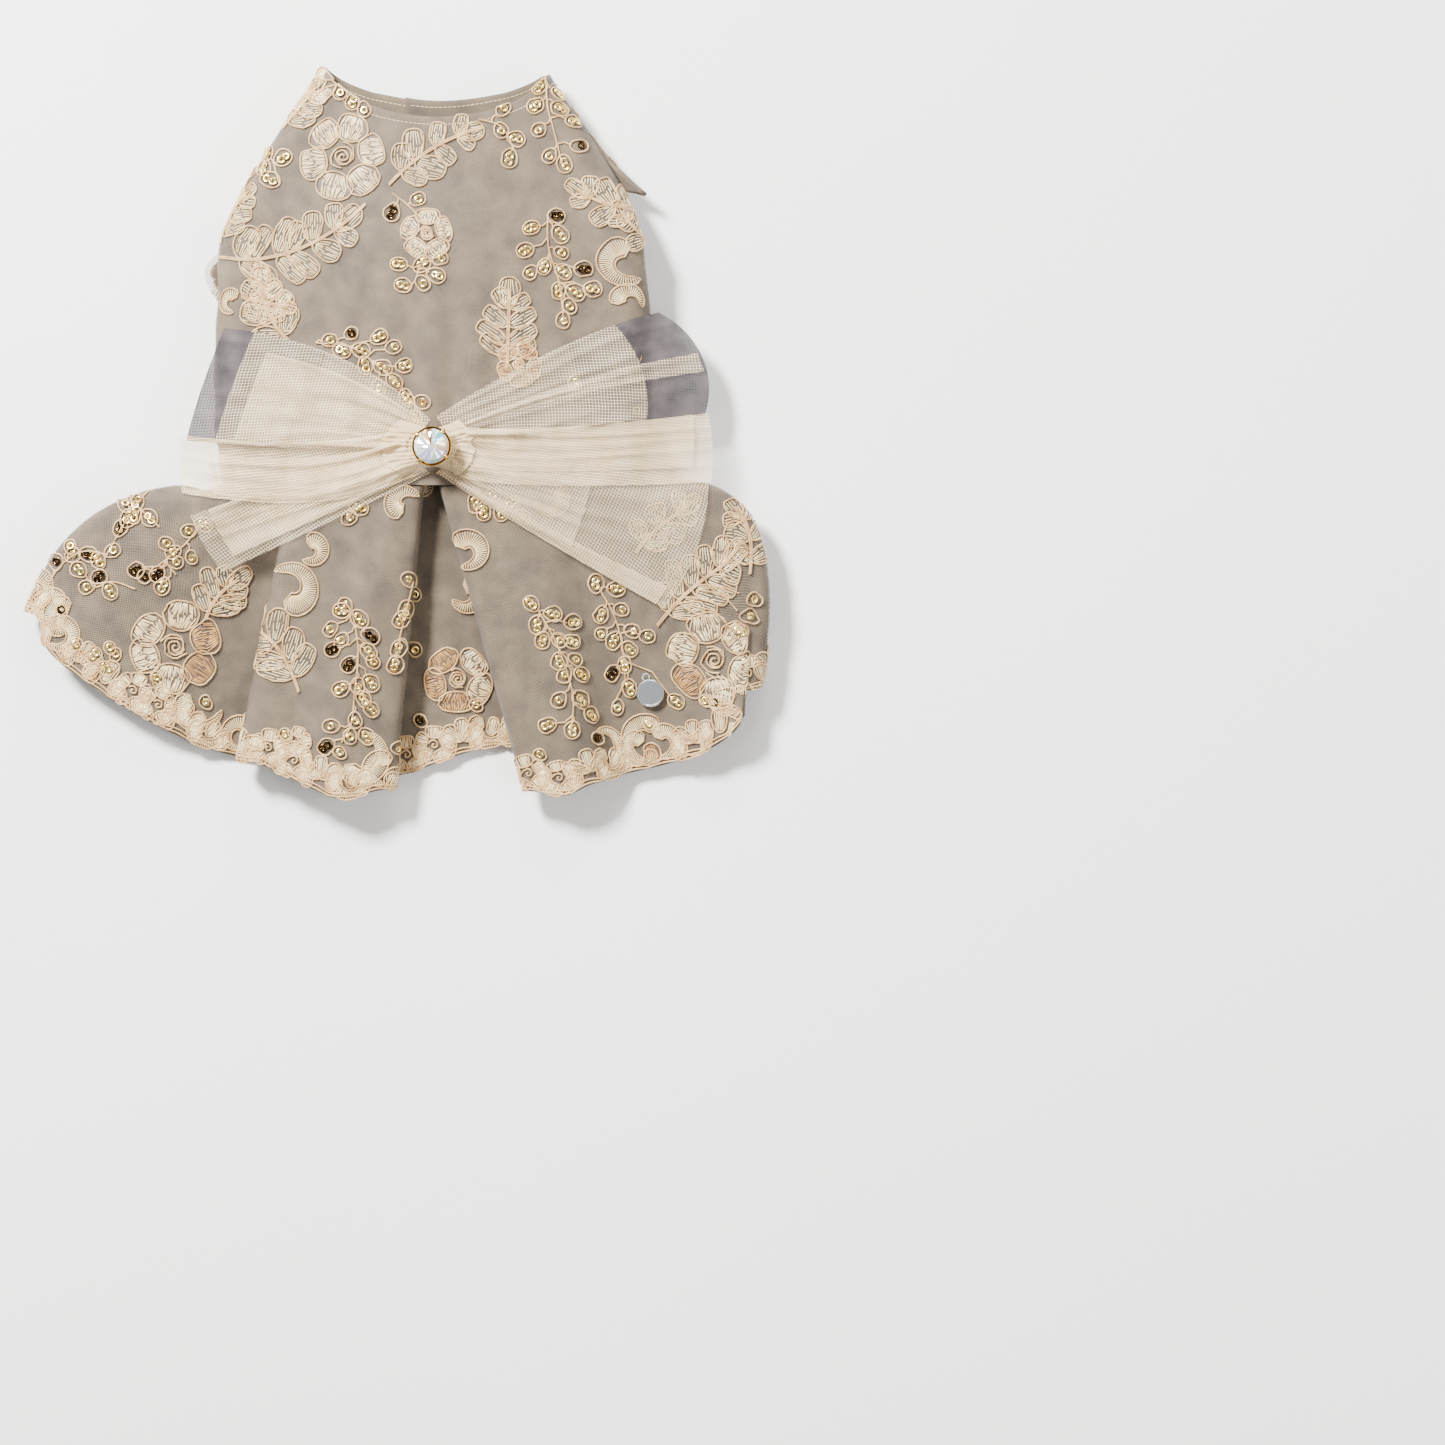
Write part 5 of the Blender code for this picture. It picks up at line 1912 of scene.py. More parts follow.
@dataclass
class Bodice:
    """The back, the straps and the flounces at the leg opening."""

    form: BodiceForm = field(default_factory=BodiceForm)
    flowers: tuple[Flower, ...] = (
        Flower(347, 163, 44, 6, 12), Flower(431, 240, 25, 5, 90),
        Flower(521, 369, 22, 5, 60, (0, 1, 2, 3, 4)), Flower(322, 92, 20, 3, 70),
    )
    leaves: tuple[Leaf, ...] = (
        Leaf(393, 188, 484, 132, 29, 4, 0.10), Leaf(220, 273, 374, 220, 35, 6, -0.12),
        Leaf(230, 249, 250, 194, 24, 3, 0.10), Leaf(293, 349, 262, 286, 31, 3, 0.10),
        Leaf(246, 302, 293, 312, 21, 3, 0.00), Leaf(510, 372, 512, 295, 32, 4, 0.00),
        Leaf(649, 218, 575, 197, 29, 3, 0.10), Leaf(647, 249, 620, 218, 24, 2, 0.10),
        Leaf(293, 137, 318, 92, 27, 3, 0.00),
    )
    scrolls: tuple[Scroll, ...] = (
        Scroll(626, 266, 18, 19, 75, 235), Scroll(628, 306, 12, 14, 200, -220),
        Scroll(238, 306, 9, 11, 40, 240),
    )
    sprigs: tuple[Sprig, ...] = (
        Sprig(((480, 126), (503, 133), (516, 158)), (
            (505, 115), (503, 137), (518, 145), (511, 165))),
        Sprig(
            ((546, 84), (549, 112), (556, 138), (566, 172)),
            ((540, 93), (557, 100), (537, 112), (560, 115), (573, 128), (540, 136), (580, 152, 1),
             (551, 162), (566, 170)),
        ),
        Sprig(
            ((553, 222), (550, 250), (560, 285), (566, 325)),
            ((558, 222, 1), (533, 234), (562, 240), (527, 256), (563, 258), (532, 278), (546, 272),
             (565, 277), (585, 274, 1), (560, 296), (577, 297), (594, 294), (571, 311),
             (565, 325)),
        ),
        Sprig(((424, 272), (420, 285), (412, 296)), (
            (403, 270), (426, 270), (444, 265), (440, 281), (407, 291), (427, 289))),
        Sprig(((396, 200), (412, 212), (424, 224)), ((396, 219, 1), (422, 206))),
        Sprig(
            ((320, 348), (355, 352), (385, 372), (405, 392), (428, 420)),
            ((335, 345), (356, 338, 1), (347, 355), (366, 355), (384, 342), (398, 352), (370, 370),
             (388, 372), (408, 370), (398, 386), (384, 392), (410, 402), (427, 406), (420, 424)),
        ),
        Sprig(((284, 190), (275, 165), (262, 178)), (
            (274, 160), (288, 164), (270, 174), (259, 178), (275, 186))),
        Sprig(((340, 86), (355, 96), (368, 106)), ((344, 98), (357, 108), (368, 116))),
        Sprig(((570, 395), (600, 380), (640, 358)), (
            (577, 386), (596, 379), (616, 371), (633, 361), (611, 413), (633, 411), (650, 399))),
    )

    def make_back(self) -> Cloth:
        """Makes the fleece back and the embroidered net over it.

        Returns:
            The back's cloth.
        """
        cloth = self.form.back()
        fleece = cloth.sheet(
            "back_fleece", Finish.FLEECE, "fleece", 0.0, LINING_WALL, "back_lining"
        )
        net = cloth.sheet(
            "back_net", Finish.GROUND_NET, "bodice_lace", LACE_LIFT, 0.0, "back_lace"
        )
        work = Needlework(cloth)
        work.sew(self.flowers, self.leaves, self.scrolls, self.sprigs)
        top = cloth.points.shape[1] - 1
        stitches = Needlework(cloth, thread_radius=0.00011)
        stitches.seam(top - 2.2, 2, cloth.points.shape[0] - 3, 0.0015)
        made = work.make("back_embroidery", "bodice_lace", "back_lace")
        made += stitches.make("neck_seam", "bodice_lace", "back_lace")
        return cloth

    def make_straps(self) -> None:
        """Makes the four straps, each of fleece with worked net on its outside."""
        form = self.form
        inner_lift, far_margin, inside_ground = 0.0047, 0.0100, -0.00088

        def outer_end(along: float) -> float:
            """Where the outer throat strap ends, short of the far side."""
            flat, radius, _ = form.across(along)
            return flat + radius + LACE_OUT - far_margin

        def always(value: float) -> Callable[[float], float]:
            """A function that gives one value everywhere."""
            return lambda _: value

        # Name, side, lift, the X of its end, its lower edge, the neck's dip and the corner
        plans = (
            ("belly_flap_outer", -1, 0.0, always(0.0490), always(form.band_low), 0.0, 0.0),
            ("belly_flap_inner", 1, inner_lift, always(-0.0260), always(form.band_low), 0.0, 0.0),
            ("throat_flap_outer", -1, 0.0, outer_end, form.low_throat, form.throat_dip, 0.0),
            ("throat_flap_inner", 1, inner_lift, always(-0.0100), form.low_throat,
             form.throat_dip, 0.0105),
        )
        # Each flower's column, row and petals, and the rows of the stitches on either face
        spots = ((7, 8, 5), (7, 21, 6), (22, 14, 6), (40, 8, 5), (40, 21, 6), (55, 14, 5))
        outer_rows, inner_rows = (1.6, 26.4), (24.2, 26.6)
        for name, side, lift, end_x, low_y, dip, corner in plans:
            cloth = form.strap(side, lift, end_x, low_y, dip, corner)
            fleece = cloth.sheet(
                f"{name}_fleece", Finish.FLEECE, "strap_lace", 0.0, LINING_WALL, name
            )
            net = cloth.sheet(
                f"{name}_net", Finish.GROUND_NET, "strap_lace", LACE_LIFT, 0.0, name
            )
            work = Needlework(cloth, seed=len(name))
            for column, row, petals in spots:
                work.flower_at(np.array((float(column), float(row))), 0.0085, petals, column * 0.7)
            for row in outer_rows:
                work.seam(row, 1, 63)
            made = work.make(f"{name}_embroidery", "strap_lace", name)
            inner = Needlework(cloth, inside_ground, thread_radius=0.00013)
            for row in inner_rows:
                inner.seam(row, 1, 63, 0.0016)
            made += inner.make(f"{name}_seam", "strap_lace", name)

    def make_flounces(self) -> None:
        """Makes the two gathered flounces, with the worked border along their free edges."""
        # Name, the seam's two ends, the free edge's two ends and the swell
        plans = (
            ("flounce_left", -0.07, -0.66, -0.03, -0.92, -0.36),
            ("flounce_right", 0.10, 0.66, 0.05, 0.95, 0.0),
        )
        for name, seam_in, seam_out, free_in, free_out, swell in plans:
            cloth = self.flounce(seam_in, seam_out, free_in, free_out, swell)
            net = cloth.sheet(f"{name}_net", Finish.GROUND_NET, "flounce_lace", 0.0, 0.0, name)
            work = Needlework(cloth, 0.00005, 0.00020, 0.00017, seed=len(name))
            columns, rows = cloth.points.shape[0] - 1, cloth.points.shape[1] - 1
            work.border(rows, -1, 1, columns - 1, 0.0088, 0.0062)
            for share in (0.12, 0.36, 0.62, 0.88):
                work.flower_at(np.array((columns * share, rows * 0.42)), 0.0068, 5, share * 9)
            work.flower_at(np.array((columns * 0.95, rows * 0.72)), 0.0080, 5, 0.4)
            made = work.make(f"{name}_embroidery", "flounce_lace", name)

    def flounce(
        self, seam_in: float, seam_out: float, free_in: float, free_out: float, swell: float
    ) -> Cloth:
        """The cloth of one flounce, from the dress's middle outwards and from seam to edge.

        Args:
            seam_in: The seam's inner end, as a share of the bodice's half width.
            seam_out: Its outer end.
            free_in: The free edge's inner end.
            free_out: Its outer end.
            swell: How far the cloth bulges outwards.

        Returns:
            The cloth.
        """
        columns, rows = 90, 26
        waves, wave_height, bow = 4.5, 0.0046, 0.004
        lap, free_edge_y, lowest, lift = 0.0035, 0.0225, 0.0006, 0.0007
        seam_z, half = 0.0032, self.form.half_width
        points = np.zeros((columns + 1, rows + 1, 3))
        for i, u in enumerate(np.linspace(0, 1, columns + 1).tolist()):
            wave = 0.5 - 0.5 * math.cos(FULL_TURN * waves * u)
            for j, v in enumerate(np.linspace(0, 1, rows + 1).tolist()):
                seam_x = seam_in + u * (seam_out - seam_in)
                free_x = free_in + u * (free_out - free_in)
                bulge = swell * u * 6.75 * v * (1 - v) ** 2
                x = half * (seam_x + ease(v * 1.3 - 0.3) * (free_x - seam_x) + bulge)
                seam_y = self.form.low_throat(half * seam_x) + lap
                y = seam_y + v * (free_edge_y - seam_y) - bow * v * (4 * u * (1 - u) - 1)
                free_z = lowest + wave_height * wave
                z = seam_z + ease(v * 1.6 - 0.35) * (free_z - seam_z)
                points[i, j] = x, y, z + lift
        return Cloth(points, (0.0, 0.0, -1.0))

    def dress_closures(self) -> None:
        """Gives the hidden hook-and-loop strips their tape."""
        for name in ("belly_closure", "throat_closure"):
            obj = packed_object(name)
            obj.data.materials.clear()
            obj.data.materials.append(Finish.TAPE.material)
            LOG.info("%s: tape", name)


# The skirt

@dataclass
class Skirt:
    """The pleated skirt of fleece under embroidered net."""

    form: SkirtForm
    flowers: tuple[Flower, ...] = (
        Flower(178, 647, 46, 6, 80, (4, 5)), Flower(715, 660, 48, 6, 40, (3,)),
        Flower(458, 679, 34, 5, 50, (1, 2, 3)),
        Flower(300, 742, 15, 5, 10),
    )
    leaves: tuple[Leaf, ...] = (
        Leaf(207, 618, 236, 579, 32, 3, 0.10), Leaf(306, 686, 248, 613, 35, 4, -0.10),
        Leaf(656, 626, 743, 555, 38, 5, 0.10), Leaf(752, 572, 738, 505, 28, 3, -0.10),
        Leaf(636, 552, 694, 506, 27, 3, 0.10),
    )
    scrolls: tuple[Scroll, ...] = (
        Scroll(296, 590, 19, 21, -120, 250), Scroll(316, 551, 11, 15, 120, -250),
        Scroll(408, 506, 12, 17, -100, -230), Scroll(424, 484, 7, 11, 40, -200),
        Scroll(470, 552, 14, 18, 150, -260), Scroll(468, 594, 13, 19, 110, -270),
        Scroll(646, 738, 20, 16, 30, 250), Scroll(604, 752, 20, 15, -70, 190),
        Scroll(690, 745, 14, 12, 150, 200), Scroll(362, 757, 22, 19, -150, 220),
        Scroll(200, 706, 20, 16, 130, 220), Scroll(42, 588, 13, 16, 100, -250),
        Scroll(66, 618, 14, 18, 40, 240), Scroll(258, 752, 13, 12, 20, 230),
        Scroll(553, 500, 13, 15, 60, -230),
    )
    sprigs: tuple[Sprig, ...] = (
        Sprig(
            ((358, 612), (362, 650), (358, 690), (352, 730), (345, 742)),
            ((350, 606), (335, 630), (364, 620), (374, 637, 1), (337, 650, 1), (372, 652),
             (353, 665, 1), (376, 662), (345, 689), (361, 686), (374, 683), (374, 709),
             (358, 720), (335, 726), (353, 736), (369, 736), (330, 746, 1), (346, 612),
             (346, 641), (366, 699)),
        ),
        Sprig(
            ((540, 612), (555, 640), (566, 668), (574, 700), (572, 735)),
            ((533, 605), (554, 615), (539, 626), (573, 623), (544, 641), (560, 641), (572, 642),
             (560, 662), (575, 660), (565, 675), (581, 675), (549, 725), (573, 730), (590, 715),
             (560, 700), (580, 700)),
        ),
        Sprig(
            ((596, 585), (612, 610), (622, 640), (625, 670)),
            ((596, 584), (617, 589), (601, 615), (622, 610), (601, 634), (614, 641), (633, 631),
             (630, 649), (648, 636), (625, 665), (612, 673, 1), (617, 707), (630, 688),
             (677, 701)),
        ),
        Sprig(((412, 582), (408, 610), (402, 645)), (
            (411, 581), (416, 594), (408, 610), (403, 620), (416, 649), (400, 649), (397, 665))),
        Sprig(((205, 525), (190, 545), (172, 563), (180, 575)), (
            (178, 553), (180, 563), (196, 558), (162, 575, 1), (167, 587), (172, 545), (194, 532),
            (209, 526), (141, 571, 1), (150, 577, 1))),
        Sprig(((100, 585), (120, 583), (140, 590)), (
            (104, 579, 1), (92, 588), (115, 592), (84, 571))),
        Sprig(((108, 560), (124, 535), (138, 512), (152, 488)), (
            (118, 552), (126, 530, 1), (134, 520), (142, 505), (148, 494))),
        Sprig(((48, 590), (66, 566), (92, 552), (112, 556)), (
            (62, 563, 1), (78, 556), (94, 556, 1), (104, 562), (76, 548))),
        Sprig(((130, 500), (150, 515), (165, 530)), ((131, 505), (140, 517), (155, 520))),
        Sprig(((476, 498), (496, 506), (514, 518)), (
            (478, 506), (486, 514), (503, 515), (495, 498), (514, 506), (524, 519))),
        Sprig(((352, 522), (362, 506)), ((364, 510), (354, 520))),
        Sprig(((70, 650), (95, 662)), ((80, 645), (98, 655), (110, 668))),
        Sprig(((700, 590), (690, 610)), ((752, 600), (748, 616), (740, 632))),
    )

    def make(self) -> Cloth:
        """Makes the skirt, with the worked border along its hem.

        Returns:
            The net's cloth.
        """
        cloth = self.form.cloth()
        coarse = Cloth(cloth.points[::2, ::2], cloth.outward, cloth.probe, True)
        fleece = coarse.sheet(
            "skirt_fleece", Finish.FLEECE, "fleece", 0.0, LINING_WALL, "skirt_lining"
        )
        net = cloth.sheet(
            "skirt_net", Finish.GROUND_NET, "skirt_lace", LACE_LIFT, 0.0, "skirt_lace"
        )
        work = Needlework(cloth, seed=11)
        work.sew(self.flowers, self.leaves, self.scrolls, self.sprigs)
        columns, rows = cloth.points.shape[0] - 1, cloth.points.shape[1] - 1
        hem = Needlework(cloth, seed=17)
        hem.border(rows, -1, 1, columns - 1)
        made = work.make("skirt_embroidery", "skirt_lace", "skirt_lace")
        made += hem.make("skirt_border", "skirt_lace", "skirt_lace")
        return cloth


# The bow

class Strip(NamedTuple):
    """One strip of the bow.

    Attributes:
        name: Its name and its CAD node.
        top: Its upper long edge from the knot outwards, as shares of the bow's reach.
        low: Its lower long edge.
        swell: How far its cut end bulges, as a share of that reach.
        pleats: How many gathers it has.
        layers: Each layer's end along the strip, its two places across it and its finish.
    """

    name: str
    top: tuple[tuple[float, float], ...]
    low: tuple[tuple[float, float], ...]
    swell: float
    pleats: float
    layers: tuple[tuple[float, float, float, Finish], ...]


@dataclass
class Bow:
    """The tulle bow with its knot, stone and cup."""

    x: float = 0.0007
    y: float = -0.0158
    reach: float = 0.0970
    shelf: float = 0.0265
    droop: float = 0.0135
    knot_length: float = 0.0180
    knot_width: float = 0.0150
    stone_radius: float = 0.0060
    claw_radius: float = 0.0008
    claw_turns: tuple[float, ...] = (0.29, 0.79, 1.29, 1.79)
    strips: tuple[Strip, ...] = (
        Strip("bow_tail_left", ((-0.07, -0.05), (-0.44, -0.11), (-0.87, -0.24)),
              ((-0.01, -0.09), (-0.34, -0.25), (-0.76, -0.44)), 0.01, 4.0,
              ((1.0, 0.0, 1.0, Finish.TULLE), (0.93, 0.16, 1.0, Finish.TULLE_FULL))),
        Strip("bow_tail_right", ((0.08, -0.03), (0.46, -0.06), (0.98, -0.12)),
              ((0.01, -0.09), (0.38, -0.32), (0.82, -0.57)), 0.04, 5.0,
              ((1.0, 0.0, 1.0, Finish.TULLE), (0.97, 0.0, 0.16, Finish.TULLE_FULL),
               (0.62, 0.1, 0.8, Finish.TULLE))),
        Strip("bow_wing_left", ((-0.01, 0.10), (-0.33, 0.32), (-0.75, 0.43)),
              ((-0.09, -0.01), (-0.47, 0.00), (-0.89, 0.03)), 0.01, 5.0,
              ((1.0, 0.0, 1.0, Finish.TULLE_DARK), (0.88, 0.0, 1.0, Finish.TULLE),
               (0.80, 0.04, 0.84, Finish.TULLE_FULL))),
        Strip("bow_wing_right", ((0.01, 0.11), (0.41, 0.34), (0.80, 0.49)),
              ((0.09, 0.00), (0.48, 0.07), (0.965, 0.12)), 0.08, 6.0,
              ((1.0, 0.0, 1.0, Finish.TULLE_DARK), (0.80, 0.0, 1.0, Finish.TULLE),
               (0.99, 0.38, 0.54, Finish.TULLE))),
        Strip("bow_loop_left", ((-0.08, 0.07), (-0.46, 0.02), (-0.91, 0.05)),
              ((-0.06, -0.07), (-0.38, -0.19), (-0.90, -0.16)), 0.01, 4.0,
              ((1.0, 0.0, 1.0, Finish.TULLE_FULL), (0.90, 0.06, 0.74, Finish.TULLE_FULL))),
        Strip("bow_loop_right", ((0.06, 0.08), (0.40, 0.07), (0.98, 0.13)),
              ((0.07, -0.06), (0.26, -0.13), (0.99, -0.12)), 0.01, 5.0,
              ((1.0, 0.0, 1.0, Finish.TULLE_FULL), (0.96, 0.24, 1.0, Finish.TULLE_FULL))),
    )

    def edge(self, points: Sequence[tuple[float, float]], t: float) -> Array:
        """A point on a bent edge.

        Args:
            points: The edge's points, as shares of the bow's reach.
            t: Where on it, 0 to 1.

        Returns:
            The point, in metres from the bow's middle.
        """
        a, b, c = (np.array(point) for point in points)
        bend = 2 * b - (a + c) / 2
        return self.reach * ((1 - t) ** 2 * a + 2 * t * (1 - t) * bend + t * t * c)

    def height_below(self, trees: Sequence[tuple[BVHTree, float]], x: float, y: float) -> float:
        """How high a strip has to lie to clear what is under it.

        Args:
            trees: What is under it, each with how much room it needs.
            x: The place's X.
            y: Its Y.

        Returns:
            The height.
        """
        best = 0.0
        for tree, gap in trees:
            hit = tree.ray_cast(Vector((x, y, 1.0)), Vector((0, 0, -1)))[0]
            if hit is not None:
                best = max(best, hit.z + gap)
        return best

    def strip_cloth(
        self, strip: Strip, inner: float, out: float, first: float, last: float,
        trees: Sequence[tuple[BVHTree, float]], phase: float,
    ) -> Cloth:
        """One layer of a strip, gathered at the knot and lying on what is below it.

        Args:
            strip: The strip.
            inner: Where the layer starts, as a share of the strip's length.
            out: Where it ends.
            first: Where it starts across the strip.
            last: Where it ends across it.
            trees: What is below it, each with how much room it needs.
            phase: What its ripples start from.

        Returns:
            The cloth.
        """
        columns, rows = 56, 40
        points = np.zeros((columns + 1, rows + 1, 3))
        floor = np.zeros((columns + 1, rows + 1))
        foot_top, foot_low = (self.reach * np.array(edge[0]) for edge in (strip.top, strip.low))
        knot = np.array((self.knot_length, self.knot_width)) / 2
        for i, share in enumerate(np.linspace(0, 1, columns + 1).tolist()):
            t = inner + share * (out - inner)
            top, low = self.edge(strip.top, t), self.edge(strip.low, t)
            for j, row in enumerate(np.linspace(0, 1, rows + 1).tolist()):
                w = first + row * (last - first)
                across = low + (top - low) * w
                foot = foot_low + (foot_top - foot_low) * w
                inside = math.hypot(*(foot / knot))
                clear = foot * max(0.98 / inside - 1, 0.0) * (1 - t) ** 3
                swell = across / np.linalg.norm(across) * strip.swell * self.reach
                spot = across + clear + swell * t**3 * 4 * w * (1 - w)
                x, y = self.x + spot[0], self.y + spot[1]
                shelf = self.shelf - self.droop * (np.linalg.norm(spot) / self.reach) ** 2
                floor[i, j] = max(self.height_below(trees, x, y), shelf)
                points[i, j] = x, y, 0.0
        # Each round lets the cloth sag towards its neighbours, but never into what is below
        height = floor.copy()
        for _ in range(14):
            padded = np.pad(height, 1, mode="edge")
            beside = padded[:-2, 1:-1] + padded[2:, 1:-1] + padded[1:-1, :-2] + padded[1:-1, 2:]
            height = np.maximum(beside / 4, floor)
        for i, share in enumerate(np.linspace(0, 1, columns + 1).tolist()):
            t = inner + share * (out - inner)
            swing = ease(t * 7) * (0.35 + 0.65 * (1 - t))
            for j, row in enumerate(np.linspace(0, 1, rows + 1).tolist()):
                w = first + row * (last - first)
                drift = 0.6 * noise.noise(Vector((w * 2.3, t * 1.6, phase * 3)))
                fold = abs(math.sin(math.pi * strip.pleats * (w + 0.3 * drift) + phase))
                puff = 0.0016 * ease(t * 6) * math.exp(-t * 6) * math.sin(math.pi * w)
                points[i, j, 2] = height[i, j] + 0.0010 * swing * (1 - fold) ** 1.3 + puff
        return Cloth(points)

    def make_strips(self, below: Sequence[Cloth]) -> list[tuple[BVHTree, float]]:
        """Makes every strip, each laid on what came before.

        Args:
            below: The cloths that the bow lies on.

        Returns:
            What the knot lies on, each with how much room it needs.
        """
        trees = [(cloth.tree, LACE_LIFT + 0.0010) for cloth in below]
        for number, strip in enumerate(self.strips):
            for layer, (out, first, last, finish) in enumerate(strip.layers):
                inner = 0.58 if finish is Finish.TULLE_DARK else 0.0
                phase = number + layer * 0.7
                cloth = self.strip_cloth(strip, inner, out, first, last, trees, phase)
                name = f"{strip.name}_{('under', 'over', 'top')[layer]}"
                sheet = cloth.sheet(name, finish, "tulle", 0.0, 0.0, strip.name)
                trees.append((cloth.tree, 0.0005))
        return trees

    def make_knot(self, top: float, below: Sequence[tuple[BVHTree, float]]) -> None:
        """Makes the gathered middle: pleats that are pinched under the stone and flare past it.

        Args:
            top: How high the pleats may reach under the stone's cup.
            below: What they lie on.
        """
        columns, rows = 72, 64
        left, right, lowest = 0.0160, 0.0125, 0.0262
        points = np.zeros((columns + 1, rows + 1, 3))
        for i, u in enumerate(np.linspace(-1, 1, columns + 1).tolist()):
            pinch = 0.0066 + 0.0030 * abs(u) ** 1.4
            for j, v in enumerate(np.linspace(-1, 1, rows + 1).tolist()):
                bow = (1 - v * v) * 0.0016 * abs(u)
                ragged = 0.0016 * noise.noise(Vector((v * 3.1, u, 9.0))) * abs(u)
                full = 0.62 + 0.38 * math.sqrt(1 - 0.98 * v * v)
                wide = left if u < 0 else right
                x = self.x + u * full * wide + math.copysign(bow, u) + ragged
                y = self.y + v * pinch
                low = max(self.height_below(below, x, y), lowest) + 0.0001
                crest = top - 0.0008 + (low + 0.0008 - top) * ease(abs(u) * 1.15 - 0.15)
                warp = 1.3 * noise.noise(Vector((u * 1.2, v * 2.2, 4.0)))
                pleat = abs(math.sin(math.pi * 5.5 * (v + 0.13 * warp) + 0.6)) ** 0.7
                rise = low + max(crest - low, 0.0) * math.sqrt(max(1 - v**4, 0.0))
                points[i, j] = x, y, rise + 0.00075 * pleat * (1 - abs(v) ** 6)
        cloth = Cloth(points)
        knot = cloth.sheet("bow_knot_tulle", Finish.TULLE_KNOT, "tulle", 0.0, 0.0, "bow_knot")

    def make_stone(self, seat: float) -> None:
        """Makes the cut stone, with every second corner of its crown raised into facets.

        Args:
            seat: How high the underside of its cup is.
        """
        sides, crown = 28, (0.00125, 0.00195)
        form = bmesh.new()
        spin_section(form, (
            (0.0, -0.0024), (self.stone_radius, 0.0), (self.stone_radius, 0.0004),
            (0.0049, crown[0]), (0.0028, crown[1]), (0.0012, 0.0025), (0.0, 0.0025),
        ), sides)
        weld(form)
        for vertex in form.verts:
            on_crown = min(abs(vertex.co.z - height) for height in crown) < 1e-6
            turn = math.atan2(vertex.co.y, vertex.co.x)
            if on_crown and round(turn / FULL_TURN * sides) % 2:
                vertex.co.z += 0.00022
        bmesh.ops.recalc_face_normals(form, faces=form.faces)
        bmesh.ops.translate(form, vec=(self.x, self.y, seat + 0.0032), verts=form.verts)
        piece("cut_stone", as_mesh("cut_stone", form, False), Finish.STONE, "stone", "stone")

    def make_cup(self, seat: float) -> None:
        """Makes the gold cup and the claws that hold the stone.

        Args:
            seat: How high the cup's underside is.
        """
        wall = self.stone_radius + 0.0003
        form = bmesh.new()
        spin_section(form, (
            (0.0, 0.0), (wall * 0.82, 0.0), (wall + 0.0004, 0.0014), (wall + 0.0005, 0.0026),
            (wall + 0.0003, 0.0029), (wall, 0.0026), (wall * 0.8, 0.0006), (0.0, 0.0005),
        ), 64)
        weld(form)
        for turn in self.claw_turns:
            away = Vector((math.cos(turn * math.pi), math.sin(turn * math.pi), 0))
            claw = bmesh.ops.create_uvsphere(
                form, u_segments=16, v_segments=12, radius=self.claw_radius
            )["verts"]
            for vertex in claw:
                vertex.co.z *= 3.0 if vertex.co.z < 0 else 0.9
                lean = min(vertex.co.z * 0.16, 0) - max(vertex.co.z, 0) * 0.9
                vertex.co += away * (wall + 0.0003 + lean) + Vector((0, 0, 0.0038))
        bmesh.ops.translate(form, vec=(self.x, self.y, seat), verts=form.verts)
        mesh = as_mesh("stone_cup_gold", form, crease=0.7)
        piece("stone_cup_gold", mesh, Finish.GOLD, "gold", "stone_cup")


# The charm

@dataclass
class Charm:
    """The round steel disc with a raised rim and an eye, left bare."""

    radius: float = 0.0048
    wall: float = 0.0010
    eye_radius: float = 0.0012
    eye_wire: float = 0.00032
    eye_turn: float = 1.83

    def make(self) -> None:
        """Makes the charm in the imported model's place and lean."""
        corners = np.array([tuple(v.co) for v in packed_object("charm").data.vertices])
        middle = corners.mean(axis=0)
        normal = np.linalg.svd(corners - middle, full_matrices=False)[2][2]
        normal *= math.copysign(1, normal[2])
        up = Vector(normal)
        along = Vector((math.cos(self.eye_turn), math.sin(self.eye_turn), 0))
        along = (along - up * along.dot(up)).normalized()
        side = along.cross(up)
        span = (corners - middle) @ np.array(along)
        centre = Vector(middle) + along * (span.min() + self.radius)
        heights = (corners - np.array(centre)) @ normal
        centre += up * float((heights.max() + heights.min()) / 2)

        form = bmesh.new()
        half, round_off = self.wall / 2, 0.0002
        spin_section(form, (
            (0.0, -half), (self.radius - round_off, -half), (self.radius, -half + round_off),
            (self.radius, half - round_off), (self.radius - round_off, half),
            (self.radius - 0.0005, half), (self.radius - 0.0007, half - round_off),
            (0.0, half - 0.00022),
        ), 72)
        ring = bmesh.ops.create_circle(form, segments=12, radius=self.eye_wire)["verts"]
        upright = Matrix.Rotation(QUARTER, 3, "X")
        bmesh.ops.rotate(form, verts=ring, matrix=upright, cent=ORIGIN)
        bmesh.ops.translate(form, verts=ring, vec=(self.eye_radius, 0, 0))
        ring_edges = list({edge for vertex in ring for edge in vertex.link_edges})
        bmesh.ops.spin(
            form, geom=ring + ring_edges, cent=ORIGIN, axis=UP, angle=FULL_TURN, steps=32,
            use_merge=True,
        )
        weld(form, 1e-7)
        eye = [
            v for v in form.verts
            if 1e-5 < math.hypot(v.co.x, v.co.y) < self.eye_radius * 1.4 and v.link_faces
        ]
        bmesh.ops.translate(form, verts=eye, vec=(self.radius + self.eye_radius * 0.8, 0, 0))
        for vertex in form.verts:
            x, y, z = vertex.co
            vertex.co = centre + along * x - side * y + up * z
        bmesh.ops.recalc_face_normals(form, faces=form.faces)
        mesh = as_mesh("charm_disc", form, crease=0.5)
        piece("charm_disc", mesh, Finish.STEEL, "charm_steel", "charm")


# The studio

